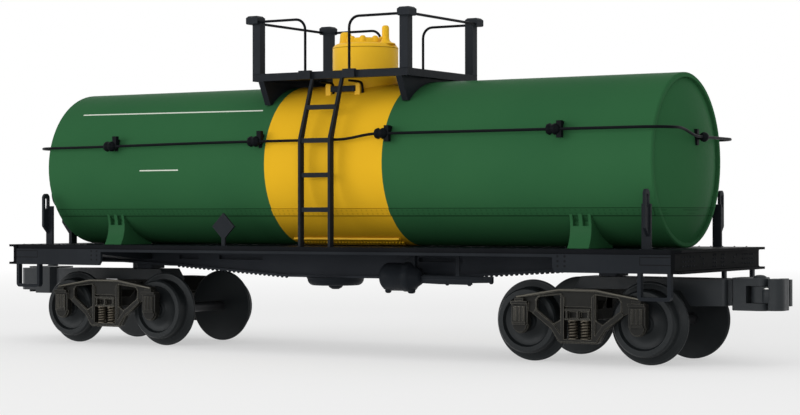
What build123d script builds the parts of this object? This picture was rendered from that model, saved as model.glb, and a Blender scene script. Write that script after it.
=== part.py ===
# Single-dome railway tank car, O gauge model at 1:48, millimetres.
# X runs along the car, Y across it, Z up. Z = 0 is the lowest point of the wheel flanges.
# Every height below is given above the rail and lifted by the depth of the flange.
from build123d import *
import os
from math import asin, cos, radians, sin, sqrt

os.makedirs("parts", exist_ok=True)

# Wheels and axles
tread_radius = 9.05
flange_radius = 11.2
rail_top = flange_radius - tread_radius
rim_radius = 8.5
rim_inner_radius = 7.2
wheel_back = 14.1
flange_width = 1.4
wheel_face = 19.3
dish_depth = 1.1
hub_radius = 2.7
axle_radius = 1.5
journal_radius = 0.95
journal_fit = 0.05
journal_end = 22.3
wheelbase = 34.7

# Deck heights, which carry the tank
deck_top = 28.9
deck_bottom = 27.6

# Tank
tank_radius = 23.9
tank_clearance = 0.05
tank_height = deck_top + tank_radius + tank_clearance
tank_half_length = 103.2
truck_inset = 22.1
truck_spacing = 2 * (tank_half_length - truck_inset)
ring_width = 1.3
ring_depth = 1.0
ring_bevel = 0.35
head_bulge = 2.6

# Frame
end_platform = 10.8
frame_half_length = tank_half_length + end_platform
frame_half_width = 29.8
deck_setback = 0.5
deck_half_width = frame_half_width - deck_setback
sill_bottom = 22.7
sill_channel = 1.8
sill_web_x = frame_half_length - sill_channel
sill_web = 1.2
sill_flange = 0.7
panel_start = tank_half_length - 26.2
panel_thickness = 0.9
sill_inner_y = frame_half_width - panel_thickness
side_rail_depth = 0.85
belly_bottom = 19.3
belly_shoulder = 22.1
spine_end_rise = 0.9
belly_half_flat = 25.0
belly_half_slope = 66.5
spine_half_width = 3.6
spine_flange_half_width = 5.0
spine_flange = 0.7
plate_bottom = 21.1
plate_length = 6.2
plate_width = 7.5

# Dome
dome_radius = 11.0
dome_sink = 3.9
dome_root = tank_height + tank_radius - dome_sink
dome_height = 15.15
dome_top = dome_root + dome_height
dome_edge = 1.2

# Walkway
walk_half_x = 26.8
walk_half_y = 20.4
walk_beam = 2.0
walk_rise = 3.05
walk_depth = 2.2
walk_top = tank_height + tank_radius + walk_rise
walk_bottom = walk_top - walk_depth
walk_plate = 0.8
dome_gap = 0.5
post_size = 2.2
post_height = 14.7
cap_height = 2.5
cap_bottom = walk_top + post_height
cap_top = cap_bottom + cap_height
cap_overhang = 1.4
bracket_x = 23.8
bracket_thickness = 1.9
bracket_tip_y = 16.2
bracket_depth = 6.9
bracket_tip_height = walk_bottom - bracket_depth
walk_wire = 0.3
wire_lift = 0.9
wire_height = cap_bottom + wire_lift
wire_leg_x = 7.6
wire_bend = 3.2
foot_width = 4.0

# Handrail loop round the tank
loop_wire = 0.4
loop_stand = 2.2
loop_half_x = tank_half_length + head_bulge + loop_stand
loop_side_stand = 1.6
loop_half_y = tank_radius + loop_side_stand
loop_corner = 8.0
loop_rise = 6.75
loop_step = 1.4
loop_end_drop = 0.6
loop_settle_drop = 0.45
loop_low = tank_height + loop_rise
loop_high = loop_low + loop_step
loop_end = loop_low - loop_end_drop
loop_settle = loop_low - loop_settle_drop
stanchion_ball = 1.35
stanchion_stem = 0.7
tab_height = 4.4
tab_width = 1.2

# Ladders
ladder_half_width = 5.1
ladder_stand = 0.5
ladder_depth = 2.0
ladder_inner_y = loop_half_y + ladder_stand
ladder_outer_y = ladder_inner_y + ladder_depth
ladder_bar = 0.8
ladder_knee_rise = 0.3
ladder_knee = loop_low + ladder_knee_rise
ladder_top_y = walk_half_y
ladder_slope_bar = 1.0
rung_radius = 0.4
rung_step = 9.95
top_rung_drop = 0.25
rung_heights = [loop_low + step * rung_step for step in (-2, -1, 0)]
rung_heights.append(loop_low + rung_step - top_rung_drop)


def level(height):
    """Horizontal plane at a height above the rail."""
    return Plane.XY.offset(rail_top + height)


def side(y):
    """Upright plane along the car, facing the near side."""
    return Plane(origin=(0, y, rail_top), x_dir=(1, 0, 0), z_dir=(0, -1, 0))


def across(x):
    """Upright plane across the car, facing the right end."""
    return Plane(origin=(x, 0, rail_top), x_dir=(0, 1, 0), z_dir=(1, 0, 0))


# Tank: long cylinder, a raised ring at each end and a dished head inside it
with BuildPart() as tank:
    with BuildSketch(side(0)):
        with BuildLine():
            shell = tank_height + tank_radius
            lip = tank_height + tank_radius - ring_width
            seat_x = tank_half_length - ring_depth
            seat_radius = tank_radius - ring_width
            dish = head_bulge + ring_depth
            dish_radius = (seat_radius * seat_radius + dish * dish) / (2 * dish)
            dish_centre = tank_half_length + head_bulge - dish_radius
            mid_angle = asin(seat_radius / dish_radius) / 2
            Polyline(
                (0, tank_height),
                (0, shell),
                (tank_half_length - ring_bevel, shell),
                (tank_half_length, shell - ring_bevel),
                (tank_half_length, lip),
                (seat_x, lip),
            )
            ThreePointArc(
                (seat_x, lip),
                (dish_centre + dish_radius * cos(mid_angle), tank_height + dish_radius * sin(mid_angle)),
                (tank_half_length + head_bulge, tank_height),
            )
            Line((tank_half_length + head_bulge, tank_height), (0, tank_height))
        make_face()
        mirror(about=Plane.YZ)
    revolve(axis=Axis((0, 0, rail_top + tank_height), (1, 0, 0)))

# Dome: drum with a rounded shoulder, seated on the tank
with BuildPart() as dome:
    with BuildSketch(level(dome_root)):
        Circle(dome_radius)
    extrude(amount=dome_top - dome_root)
    fillet(dome.faces().sort_by(Axis.Z)[-1].edges(), radius=dome_edge)
    add(tank.part, mode=Mode.SUBTRACT)

# Dome fittings: manway lid with its bolts, a tall relief valve and a squat valve
lid_radius = 5.6
lid_height = 2.4
bolt_radius = 0.75
bolt_stand = 1.1
lid_bolts = 8
tall_valve_x = 6.6
tall_valve_height = 6.2
tall_valve_shoulder = 5.4
tall_valve_foot = 1.3
squat_valve_x = -7.4
squat_valve_height = 5.2
squat_valve_shoulder = 4.2
with BuildPart() as dome_fittings:
    with BuildSketch(level(dome_top)):
        Circle(lid_radius)
    extrude(amount=lid_height)
    fillet(dome_fittings.faces().sort_by(Axis.Z)[-1].edges(), radius=0.6)
    with BuildSketch(level(dome_top)):
        with PolarLocations(lid_radius - 0.5, lid_bolts, start_angle=22.5):
            Circle(bolt_radius)
    extrude(amount=lid_height + bolt_stand)
    with BuildSketch(side(0)):
        with BuildLine():
            x0 = tall_valve_x
            Polyline(
                (x0, dome_top),
                (x0 + 2.4, dome_top),
                (x0 + 1.3, dome_top + tall_valve_foot),
                (x0 + 1.2, dome_top + tall_valve_shoulder),
                (x0 + 0.6, dome_top + tall_valve_height),
                (x0, dome_top + tall_valve_height),
                close=True,
            )
        make_face()
    revolve(axis=Axis((tall_valve_x, 0, 0), (0, 0, 1)))
    with BuildSketch(side(0)):
        with BuildLine():
            x1 = squat_valve_x
            Polyline(
                (x1, dome_top),
                (x1 + 2.5, dome_top),
                (x1 + 2.1, dome_top + squat_valve_shoulder),
                (x1 + 1.6, dome_top + squat_valve_height),
                (x1, dome_top + squat_valve_height),
                close=True,
            )
        make_face()
    revolve(axis=Axis((squat_valve_x, 0, 0), (0, 0, 1)))

# Saddles: a block each side under the tank, flared outward at the foot, its top notched into three prongs
saddle_shift = 2.2
saddle_spacing = truck_spacing - saddle_shift
saddle_length = 6.4
saddle_foot_y = 20.4
saddle_waist_y = 18.5
waist_rise = 5.1
saddle_waist = deck_top + waist_rise
saddle_top_y = 19.7
saddle_height = 10.4
saddle_top = deck_top + saddle_height
saddle_inner_y = 5.0
notch_width = 1.7
notch_pitch = 2.9
notch_rise = 6.1
notch_bottom = deck_top + notch_rise
with BuildPart() as tank_saddles:
    for x in (-saddle_spacing / 2, saddle_spacing / 2):
        with BuildSketch(across(x - saddle_length / 2)):
            for sign in (-1, 1):
                with BuildLine():
                    Polyline(
                        (sign * saddle_top_y, saddle_top),
                        (sign * saddle_inner_y, saddle_top),
                        (sign * saddle_inner_y, deck_top),
                        (sign * saddle_foot_y, deck_top),
                    )
                    ThreePointArc(
                        (sign * saddle_foot_y, deck_top),
                        (sign * saddle_waist_y, saddle_waist),
                        (sign * saddle_top_y, saddle_top),
                    )
                make_face()
        extrude(amount=saddle_length)
    with BuildSketch(level(notch_bottom)):
        for x in (-saddle_spacing / 2, saddle_spacing / 2):
            with Locations((x - notch_pitch / 2, 0), (x + notch_pitch / 2, 0)):
                Rectangle(notch_width, 2 * saddle_foot_y)
    extrude(amount=saddle_top - notch_bottom, mode=Mode.SUBTRACT)
    add(tank.part, mode=Mode.SUBTRACT)

# Anchor strips: thin curved plates low on the tank, near and far
anchor_half_length = 17.0
anchor_thickness = 0.4
anchor_rise = 2.2
anchor_gap = 5.3
with BuildPart() as tank_anchor:
    with BuildSketch(across(-anchor_half_length)):
        with Locations((0, tank_height)):
            Circle(tank_radius + anchor_thickness)
        with Locations((0, tank_height)):
            Circle(tank_radius, mode=Mode.SUBTRACT)
        with Locations((0, tank_height - tank_radius + anchor_rise)):
            Rectangle(3 * tank_radius, 3 * tank_radius, align=(Align.CENTER, Align.MIN), mode=Mode.SUBTRACT)
        with Locations((0, tank_height - tank_radius)):
            Rectangle(2 * anchor_gap, 2 * anchor_gap, mode=Mode.SUBTRACT)
    extrude(amount=2 * anchor_half_length)

# Walkway: beams round a deck plate that the dome passes through
with BuildPart() as walkway:
    with BuildSketch(level(walk_bottom)):
        Rectangle(2 * walk_half_x, 2 * walk_half_y)
        Rectangle(2 * (walk_half_x - walk_beam), 2 * (walk_half_y - walk_beam), mode=Mode.SUBTRACT)
    extrude(amount=walk_top - walk_bottom)
    with BuildSketch(level(walk_top - walk_plate)):
        Rectangle(2 * walk_half_x - 1, 2 * walk_half_y - 1)
        Circle(dome_radius + dome_gap, mode=Mode.SUBTRACT)
    extrude(amount=walk_plate)
    with BuildSketch(level(walk_bottom)):
        for sign in (-1, 1):
            with GridLocations(2 * wire_leg_x, 0, 2, 1):
                with Locations((0, sign * (walk_half_y + 0.6))):
                    Rectangle(foot_width, 1.4)
    extrude(amount=walk_top - walk_bottom + 0.3)

# Brackets: curved plates that carry the walkway on the tank
with BuildPart() as walkway_brackets:
    with BuildSketch(across(-bracket_x - bracket_thickness / 2)):
        with BuildLine():
            Polyline(
                (0, walk_bottom),
                (walk_half_y, walk_bottom),
                (bracket_tip_y + 0.6, bracket_tip_height),
                (bracket_tip_y, bracket_tip_height),
                (0, bracket_tip_height),
                close=True,
            )
        make_face()
        mirror(about=Plane.YZ)
    extrude(amount=bracket_thickness)
    mirror(about=Plane.YZ)
    add(tank.part, mode=Mode.SUBTRACT)

# Posts: square, each with a cap that overhangs outward
with BuildPart() as walkway_posts:
    with BuildSketch(level(walk_top)):
        with Locations((walk_half_x - post_size / 2, walk_half_y - post_size / 2)):
            Rectangle(post_size, post_size)
    extrude(amount=cap_bottom - walk_top)
    with BuildSketch(level(cap_bottom)):
        cap_inset = (post_size - cap_overhang) / 2
        with Locations((walk_half_x - cap_inset, walk_half_y - cap_inset)):
            Rectangle(post_size + cap_overhang, post_size + cap_overhang)
    extrude(amount=cap_top - cap_bottom)
    chamfer(walkway_posts.faces().sort_by(Axis.Z)[-1].edges(), length=0.5)
    mirror(about=Plane.XZ)
    mirror(about=Plane.YZ)

# Rails: bent wires from the caps down to the side beams, straight wires across the ends
wire_y = walk_half_y + 0.6
wire_x = walk_half_x + 0.6
with BuildPart() as walkway_rails:
    with BuildLine() as side_wire:
        start_x = walk_half_x - post_size
        z = rail_top + wire_height
        corner_cut = wire_bend * (1 - cos(radians(45)))
        Line((start_x, -wire_y, z), (wire_leg_x + wire_bend, -wire_y, z))
        ThreePointArc(
            (wire_leg_x + wire_bend, -wire_y, z),
            (wire_leg_x + corner_cut, -wire_y, z - corner_cut),
            (wire_leg_x, -wire_y, z - wire_bend),
        )
        Line((wire_leg_x, -wire_y, z - wire_bend), (wire_leg_x, -wire_y, rail_top + walk_top + 0.3))
    with BuildSketch(Plane(origin=(start_x, -wire_y, z), z_dir=(-1, 0, 0))):
        Circle(walk_wire)
    sweep(path=side_wire.line)
    mirror(about=Plane.XZ)
    with BuildSketch(Plane(origin=(wire_x, walk_half_y - post_size, z), z_dir=(0, -1, 0))):
        Circle(walk_wire)
    extrude(amount=2 * (walk_half_y - post_size))
    mirror(about=Plane.YZ)

# Ladders: upright stringers that lean in to the walkway above the knee
with BuildPart() as ladders:
    for sign in (-1, 1):
        with BuildSketch(across(sign * ladder_half_width - ladder_bar / 2)):
            with BuildLine():
                Polyline(
                    (-ladder_outer_y, deck_top),
                    (-ladder_outer_y, ladder_knee),
                    (-ladder_top_y - ladder_slope_bar, walk_bottom),
                    (-ladder_top_y, walk_bottom),
                    (-ladder_inner_y, ladder_knee),
                    (-ladder_inner_y, deck_top),
                    close=True,
                )
            make_face()
        extrude(amount=ladder_bar)
    for height in rung_heights:
        lean = max(0, height - ladder_knee) / (walk_bottom - ladder_knee)
        rung_y = -(ladder_outer_y + ladder_inner_y) / 2 + lean * (ladder_inner_y - ladder_top_y)
        with BuildSketch(across(-ladder_half_width)):
            with Locations((rung_y, height)):
                Circle(rung_radius)
        extrude(amount=2 * ladder_half_width)
    mirror(about=Plane.XZ)

# Handrail: one wire loop round the tank, each half with a low run and a high run
stanchion_outer = 76.0
stanchion_inner = 21.9
rise_start = 6.5
rise_end = 20.0
end_rise = 3.0
straight_x = loop_half_x - loop_corner
straight_y = loop_half_y - loop_corner
bend = loop_corner * cos(radians(45))
foot = rail_top + loop_end
low = rail_top + loop_low
high = rail_top + loop_high
with BuildPart() as half_loop:
    with BuildLine() as loop_path:
        Line((-loop_half_x, 0, foot), (-loop_half_x, -straight_y, foot))
        ThreePointArc(
            (-loop_half_x, -straight_y, foot),
            (-straight_x - bend, -straight_y - bend, foot),
            (-straight_x, -loop_half_y, foot),
        )
        Spline(
            (-straight_x, -loop_half_y, foot),
            (-stanchion_outer, -loop_half_y, rail_top + loop_settle),
            (-stanchion_inner, -loop_half_y, low),
            tangents=((1, 0, 0), (1, 0, 0)),
        )
        Line((-stanchion_inner, -loop_half_y, low), (rise_start, -loop_half_y, low))
        Spline(
            (rise_start, -loop_half_y, low),
            (rise_end, -loop_half_y, high),
            tangents=((1, 0, 0), (1, 0, 0)),
        )
        Line((rise_end, -loop_half_y, high), (straight_x, -loop_half_y, high))
        ThreePointArc(
            (straight_x, -loop_half_y, high),
            (straight_x + bend, -straight_y - bend, high),
            (loop_half_x, -straight_y, high),
        )
        Spline(
            (loop_half_x, -straight_y, high),
            (loop_half_x, -end_rise, foot),
            tangents=((0, 1, 0), (0, 1, 0)),
        )
        Line((loop_half_x, -end_rise, foot), (loop_half_x, 0, foot))
    with BuildSketch(Plane(origin=(-loop_half_x, 0, foot), z_dir=(0, -1, 0))):
        Circle(loop_wire)
    sweep(path=loop_path.wires()[0])
with BuildPart() as tank_handrail:
    add(half_loop.part)
    add(half_loop.part.rotate(Axis.Z, 180))

# Stanchions: a tab on the tank and a turned stem with a ball drilled for the wire
stanchion_table = (
    # x along the car, height
    (-stanchion_outer, loop_settle),
    (-stanchion_inner, loop_low),
    (stanchion_inner, loop_high),
    (stanchion_outer, loop_high),
)
tab_root_y = tank_radius - 3.9
tab_depth = 3.4
head_tab_x = tank_half_length + 0.1
tab_stand = 0.5
stanchion_reach = stanchion_outer + 14.0
wire_fit = 0.03
neck = sqrt(stanchion_ball * stanchion_ball - stanchion_stem * stanchion_stem)
shoulder = stanchion_ball * sin(radians(45))
with BuildPart() as head_stanchion:
    with BuildSketch(Plane(origin=(loop_half_x, 0, foot), x_dir=(1, 0, 0), z_dir=(0, 0, 1))):
        with BuildLine():
            stem_start = head_tab_x - loop_half_x
            Polyline((stem_start, 0), (stem_start, stanchion_stem), (-neck, stanchion_stem))
            ThreePointArc((-neck, stanchion_stem), (shoulder, shoulder), (stanchion_ball, 0))
            Line((stanchion_ball, 0), (stem_start, 0))
        make_face()
    revolve(axis=Axis((0, 0, foot), (1, 0, 0)))
    with BuildSketch(across(head_tab_x)):
        with Locations((0, loop_end)):
            Rectangle(tab_width, tab_height)
    extrude(amount=tank_half_length + head_bulge + tab_stand - head_tab_x)
    with BuildSketch(side(2)):
        with Locations((loop_half_x, loop_end)):
            Circle(loop_wire + wire_fit)
    extrude(amount=4, mode=Mode.SUBTRACT)
    with Locations((dish_centre, 0, rail_top + tank_height)):
        Sphere(dish_radius, mode=Mode.SUBTRACT)
with BuildPart() as side_stanchions:
    for x, height in stanchion_table:
        ball_centre = (x, -loop_half_y, rail_top + height)
        with BuildSketch(Plane(origin=ball_centre, x_dir=(0, 1, 0), z_dir=(0, 0, 1))):
            with BuildLine():
                stem_end = loop_half_y - tab_root_y
                Polyline((stem_end, 0), (stem_end, stanchion_stem), (neck, stanchion_stem))
                ThreePointArc((neck, stanchion_stem), (-shoulder, shoulder), (-stanchion_ball, 0))
                Line((-stanchion_ball, 0), (stem_end, 0))
            make_face()
        revolve(axis=Axis((x, 0, rail_top + height), (0, 1, 0)))
        with BuildSketch(side(-tab_root_y)):
            with Locations((x, height)):
                Rectangle(tab_width, tab_height)
        extrude(amount=tab_depth)
        with BuildSketch(across(x - 2)):
            with Locations((-loop_half_y, height)):
                Circle(loop_wire + wire_fit)
        extrude(amount=4, mode=Mode.SUBTRACT)
    with BuildSketch(across(0)):
        with Locations((0, tank_height)):
            Circle(tank_radius)
    extrude(amount=stanchion_reach, both=True, mode=Mode.SUBTRACT)
with BuildPart() as handrail_stanchions:
    for angle in (0, 180):
        add(head_stanchion.part.rotate(Axis.Z, angle))
        add(side_stanchions.part.rotate(Axis.Z, angle))

# Corner posts: an upright blade with a taller slotted finger on its outer side
corner_x = tank_half_length - 1.3
corner_y = 24.4
blade_length = 2.6
blade_thickness = 0.8
blade_height = 12.0
blade_top = deck_top + blade_height
finger_width = 2.8
finger_thickness = 0.8
finger_lift = 4.3
finger_height = 15.9
finger_bottom = deck_top + finger_lift
finger_top = deck_top + finger_height
slot_width = 1.3
with BuildPart() as corner_posts:
    with BuildSketch(side(-corner_y + blade_thickness / 2)):
        with Locations((corner_x, (deck_top + blade_top) / 2)):
            Rectangle(blade_length, blade_top - deck_top)
    extrude(amount=blade_thickness)
    with BuildSketch(across(corner_x + 0.1)) as finger:
        with BuildLine():
            outer = -corner_y - finger_width
            Polyline(
                (-corner_y, finger_top - finger_width / 2),
                (-corner_y, finger_bottom - 1.2),
                (-corner_y - 0.8, finger_bottom - 0.6),
                (outer, finger_bottom + 1.4),
                (outer, finger_top - finger_width / 2),
            )
            middle = -corner_y - finger_width / 2
            ThreePointArc(
                (outer, finger_top - finger_width / 2),
                (middle, finger_top),
                (-corner_y, finger_top - finger_width / 2),
            )
        make_face()
        with Locations((middle, finger_top - 3.1)):
            SlotOverall(3.6, slot_width, rotation=90, mode=Mode.SUBTRACT)
    extrude(amount=finger_thickness)
    mirror(about=Plane.XZ)
    mirror(about=Plane.YZ)

# Deck plate
with BuildPart() as deck:
    with BuildSketch(level(deck_bottom)):
        Rectangle(2 * (sill_web_x - sill_web), 2 * deck_half_width)
    extrude(amount=deck_top - deck_bottom)

# Side sills: a shallow rail under the deck edge with a deep panel at each end
with BuildPart() as side_sills:
    with BuildSketch(side(-sill_inner_y)):
        with BuildLine():
            end_x = sill_web_x - sill_web
            rail_bottom = deck_bottom - side_rail_depth
            Polyline(
                (0, deck_bottom),
                (end_x, deck_bottom),
                (end_x, sill_bottom),
                (panel_start + 0.8, sill_bottom),
                (panel_start, sill_bottom + 1.2),
                (panel_start, rail_bottom),
                (0, rail_bottom),
                close=True,
            )
        make_face()
        mirror(about=Plane.YZ)
    extrude(amount=panel_thickness)
    mirror(about=Plane.XZ)

# End sills: channels open outward
with BuildPart() as end_sills:
    with BuildSketch(side(frame_half_width)):
        with BuildLine():
            inside_x = sill_web_x - sill_web
            Polyline(
                (inside_x, deck_top),
                (frame_half_length, deck_top),
                (frame_half_length, deck_top - sill_flange),
                (sill_web_x, deck_top - sill_flange),
                (sill_web_x, sill_bottom + sill_flange),
                (frame_half_length, sill_bottom + sill_flange),
                (frame_half_length, sill_bottom),
                (inside_x, sill_bottom),
                close=True,
            )
        make_face()
    extrude(amount=2 * frame_half_width)
    long_edges = end_sills.edges().filter_by(Axis.Y)
    fillet(long_edges.filter_by(lambda e: abs(e.center().X - sill_web_x) < 0.01), radius=0.4)
    mirror(about=Plane.YZ)

# Centre sill: fishbelly girder with a bottom flange and shallow slots along its web
slot_height = 25.0
slot_tall = 1.3
slot_depth = 1.2
slot_table = (
    # start along the car, end along the car
    (-67.0, -59.4),
    (-51.5, -35.0),
    (20.5, 35.2),
)
end_sill_inside = sill_web_x - sill_web
spine_end = belly_shoulder + spine_end_rise
belly_line = (
    (end_sill_inside, spine_end),
    (truck_spacing / 2 + 7, spine_end),
    (belly_half_slope + 3, belly_shoulder),
    (belly_half_slope, belly_shoulder),
    (belly_half_flat, belly_bottom),
    (0, belly_bottom),
)
with BuildPart() as centre_sill:
    with BuildSketch(side(spine_half_width)):
        with BuildLine():
            Polyline(*belly_line, (0, deck_bottom), (end_sill_inside, deck_bottom), close=True)
        make_face()
        mirror(about=Plane.YZ)
    extrude(amount=2 * spine_half_width)
    with BuildSketch(side(spine_flange_half_width)):
        with BuildLine():
            raised = [(x, z + spine_flange) for x, z in belly_line]
            Polyline(*belly_line, *reversed(raised), close=True)
        make_face()
        mirror(about=Plane.YZ)
    extrude(amount=2 * spine_flange_half_width)
    for turn, slot_side in ((1, -spine_half_width), (-1, spine_half_width)):
        with BuildSketch(side(slot_side)):
            for slot_start, slot_end in slot_table:
                with Locations((turn * (slot_start + slot_end) / 2, slot_height)):
                    Rectangle(slot_end - slot_start, slot_tall)
        extrude(amount=-turn * slot_depth, mode=Mode.SUBTRACT)

# Floor bearers: a tapered rib each side of the centre sill, wide ones over the trucks
bearer_table = (
    # x along the car, length along the car, depth at the centre sill, depth at the side
    (-truck_spacing / 2, 7.0, 3.4, 1.6),
    (-57.0, 1.4, 1.0, 0.8),
    (-34.0, 1.4, 1.0, 0.8),
    (-11.0, 1.4, 1.0, 0.8),
    (11.0, 1.4, 1.0, 0.8),
    (34.0, 1.4, 1.0, 0.8),
    (57.0, 1.4, 1.0, 0.8),
    (truck_spacing / 2, 7.0, 3.4, 1.6),
)
with BuildPart() as floor_bearers:
    for x, length, inner_depth, outer_depth in bearer_table:
        with BuildSketch(across(x - length / 2)):
            with BuildLine():
                Polyline(
                    (spine_half_width, deck_bottom),
                    (sill_inner_y, deck_bottom),
                    (sill_inner_y, deck_bottom - outer_depth),
                    (spine_half_width + 6, deck_bottom - inner_depth),
                    (spine_half_width, deck_bottom - inner_depth),
                    close=True,
                )
            make_face()
        extrude(amount=length)
    mirror(about=Plane.XZ)

# Centre plates: blocks under the centre sill that rest on the trucks
pin_radius = 1.5
pin_fit = 0.08
pin_head_radius = 2.8
pin_head = 0.8
bolster_bottom = 9.8
plate_corner = 1.0
with BuildPart() as centre_plates:
    with BuildSketch(level(plate_bottom)):
        with GridLocations(truck_spacing, 0, 2, 1):
            RectangleRounded(plate_length, plate_width, plate_corner)
    extrude(amount=spine_end - plate_bottom)
with BuildPart() as centre_girder:
    add(centre_sill.part)
    add(centre_plates.part)

# King pins: screws that hold the trucks under the centre plates
with BuildPart() as king_pins:
    with BuildSketch(level(bolster_bottom - 0.2)):
        with GridLocations(truck_spacing, 0, 2, 1):
            Circle(pin_radius)
    extrude(amount=plate_bottom - bolster_bottom + 0.2)
    with BuildSketch(level(bolster_bottom - 0.2 - pin_head)):
        with GridLocations(truck_spacing, 0, 2, 1):
            Circle(pin_head_radius)
    extrude(amount=pin_head)

# Steps: stirrups under the end panels
step_outer_x = frame_half_length - 3.0
step_inner_x = step_outer_x - 9.4
step_bottom = 15.6
step_bar = 1.0
step_depth = 1.6
with BuildPart() as corner_steps:
    with BuildSketch(side(-frame_half_width + step_depth)):
        with BuildLine():
            Polyline(
                (step_inner_x, sill_bottom),
                (step_inner_x, step_bottom),
                (step_outer_x, step_bottom),
                (step_outer_x, sill_bottom),
                close=True,
            )
        make_face()
        with BuildLine():
            Polyline(
                (step_inner_x + step_bar, sill_bottom),
                (step_inner_x + step_bar, step_bottom + step_bar),
                (step_outer_x - step_bar, step_bottom + step_bar),
                (step_outer_x - step_bar, sill_bottom),
                close=True,
            )
        make_face(mode=Mode.SUBTRACT)
    extrude(amount=step_depth)
    tread_level = rail_top + step_bottom + 0.1
    low_corners = corner_steps.edges().filter_by(Axis.Y).filter_by(lambda e: e.center().Z < tread_level)
    fillet(low_corners, radius=1.2)
    mirror(about=Plane.XZ)
    mirror(about=Plane.YZ)

# Brake cylinder: turned body with a flange and a cone, hung from the centre sill by two arms and a hanger
cylinder_y = -13.0
cylinder_height = 20.2
cylinder_start = 12.9
cylinder_length = 10.0
cylinder_radius = 3.5
cylinder_flange = 4.5
cylinder_crown = 2.4
cone_end = cylinder_start + cylinder_length + 7.1
cone_tip = 1.2
arm_rise = 1.4
arm_size = 1.5
arm_length = -cylinder_y - spine_half_width
with BuildPart() as brake_cylinder:
    with BuildSketch(side(cylinder_y)):
        with BuildLine():
            c = cylinder_height
            x0 = cylinder_start
            x1 = cylinder_start + cylinder_length
            Line((x0, c), (x0, c + cylinder_crown))
            ThreePointArc(
                (x0, c + cylinder_crown),
                (x0 + 0.35, c + cylinder_radius - 0.3),
                (x0 + 1.1, c + cylinder_radius),
            )
            Polyline(
                (x0 + 1.1, c + cylinder_radius),
                (x1, c + cylinder_radius),
                (x1, c + cylinder_flange),
                (x1 + 2.2, c + cylinder_flange),
                (x1 + 2.8, c + cylinder_radius),
                (cone_end, c + cone_tip),
                (cone_end, c),
                (x0, c),
            )
        make_face()
    revolve(axis=Axis((0, cylinder_y, rail_top + cylinder_height), (1, 0, 0)))
    for arm_x in (cylinder_start + 2.2, cylinder_start + 6.4):
        with BuildSketch(across(arm_x)):
            with Locations((cylinder_y + arm_length / 2, cylinder_height + arm_rise)):
                Rectangle(arm_length, arm_size)
        extrude(amount=arm_size)
    with BuildSketch(side(cylinder_y + arm_size / 2)):
        with Locations((cylinder_start + cylinder_length + 1.1, (cylinder_height + deck_bottom) / 2)):
            Rectangle(2.2, deck_bottom - cylinder_height)
    extrude(amount=arm_size)
    with BuildSketch(level(cylinder_height - cylinder_flange)):
        for stub_x in (cylinder_start + 2.6, cylinder_start + cylinder_length + 1.1):
            with Locations((stub_x, cylinder_y)):
                Circle(0.9)
    extrude(amount=2.0)

# Brake lever: push rod from the cylinder to a flat lever with three pins
lever_start = cone_end - 2.5
lever_length = 20.0
lever_end = cone_end + lever_length
lever_top = 20.7
lever_low = 18.7
lever_thickness = 1.0
lever_pins = (lever_end - 14.6, lever_end - 7.4, lever_end - 0.7)
rod_radius = 0.7
strap_x = lever_end - 11.0
with BuildPart() as brake_lever:
    with BuildSketch(across(cone_end)):
        with Locations((cylinder_y, cylinder_height)):
            Circle(rod_radius)
    extrude(amount=lever_end - cone_end - 3.0)
    with BuildSketch(side(cylinder_y + lever_thickness / 2)):
        with BuildLine():
            Polyline(
                (lever_start + 3.0, lever_top),
                (lever_start + 3.0, lever_low + 0.4),
                (lever_end - 14.0, lever_low),
                (lever_end - 7.0, lever_low),
                (lever_end, lever_low + 0.6),
                (lever_end, lever_top),
                close=True,
            )
        make_face()
    extrude(amount=lever_thickness)
    with BuildSketch(level(lever_low - 0.3)):
        with Locations(*[(pin_x, cylinder_y) for pin_x in lever_pins]):
            Circle(0.65)
    extrude(amount=lever_top - lever_low)
    with BuildSketch(side(cylinder_y)):
        with Locations((strap_x, (cylinder_height + deck_bottom) / 2)):
            Rectangle(1.2, deck_bottom - cylinder_height)
    extrude(amount=lever_thickness / 2)

# Outlet pan: round pan and valve knob under the centre sill
pan_x = -10.7
pan_radius = 8.8
pan_foot_radius = 7.0
pan_bottom = 16.9
with BuildPart() as outlet_pan:
    with BuildSketch(side(0)):
        with BuildLine():
            Polyline(
                (pan_x, belly_bottom),
                (pan_x + pan_radius, belly_bottom),
                (pan_x + pan_radius - 0.3, belly_bottom - 0.6),
            )
            ThreePointArc(
                (pan_x + pan_radius - 0.3, belly_bottom - 0.6),
                (pan_x + (pan_radius + pan_foot_radius) / 2 + 0.1, pan_bottom + 0.6),
                (pan_x + pan_foot_radius, pan_bottom),
            )
            Polyline(
                (pan_x + pan_foot_radius, pan_bottom),
                (pan_x + 2.3, pan_bottom - 0.1),
                (pan_x + 1.9, pan_bottom - 0.7),
                (pan_x + 1.0, pan_bottom - 1.2),
                (pan_x, pan_bottom - 1.2),
                (pan_x, belly_bottom),
            )
        make_face()
    revolve(axis=Axis((pan_x, 0, 0), (0, 0, 1)))

# Air tank: small reservoir on the far side
reservoir_x = 0.0
reservoir_y = 13.0
reservoir_height = 22.4
reservoir_radius = 3.2
reservoir_half_length = 9.5
with BuildPart() as air_tank:
    with BuildSketch(across(reservoir_x - reservoir_half_length)):
        with Locations((reservoir_y, reservoir_height)):
            Circle(reservoir_radius)
    extrude(amount=2 * reservoir_half_length)
    fillet(air_tank.edges().filter_by(GeomType.CIRCLE), radius=1.4)
    with BuildSketch(side(reservoir_y + 0.5)):
        with Locations(
            (reservoir_x - 5.5, (reservoir_height + deck_bottom) / 2),
            (reservoir_x + 5.5, (reservoir_height + deck_bottom) / 2),
        ):
            Rectangle(1.4, deck_bottom - reservoir_height)
    extrude(amount=1.0)

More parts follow.
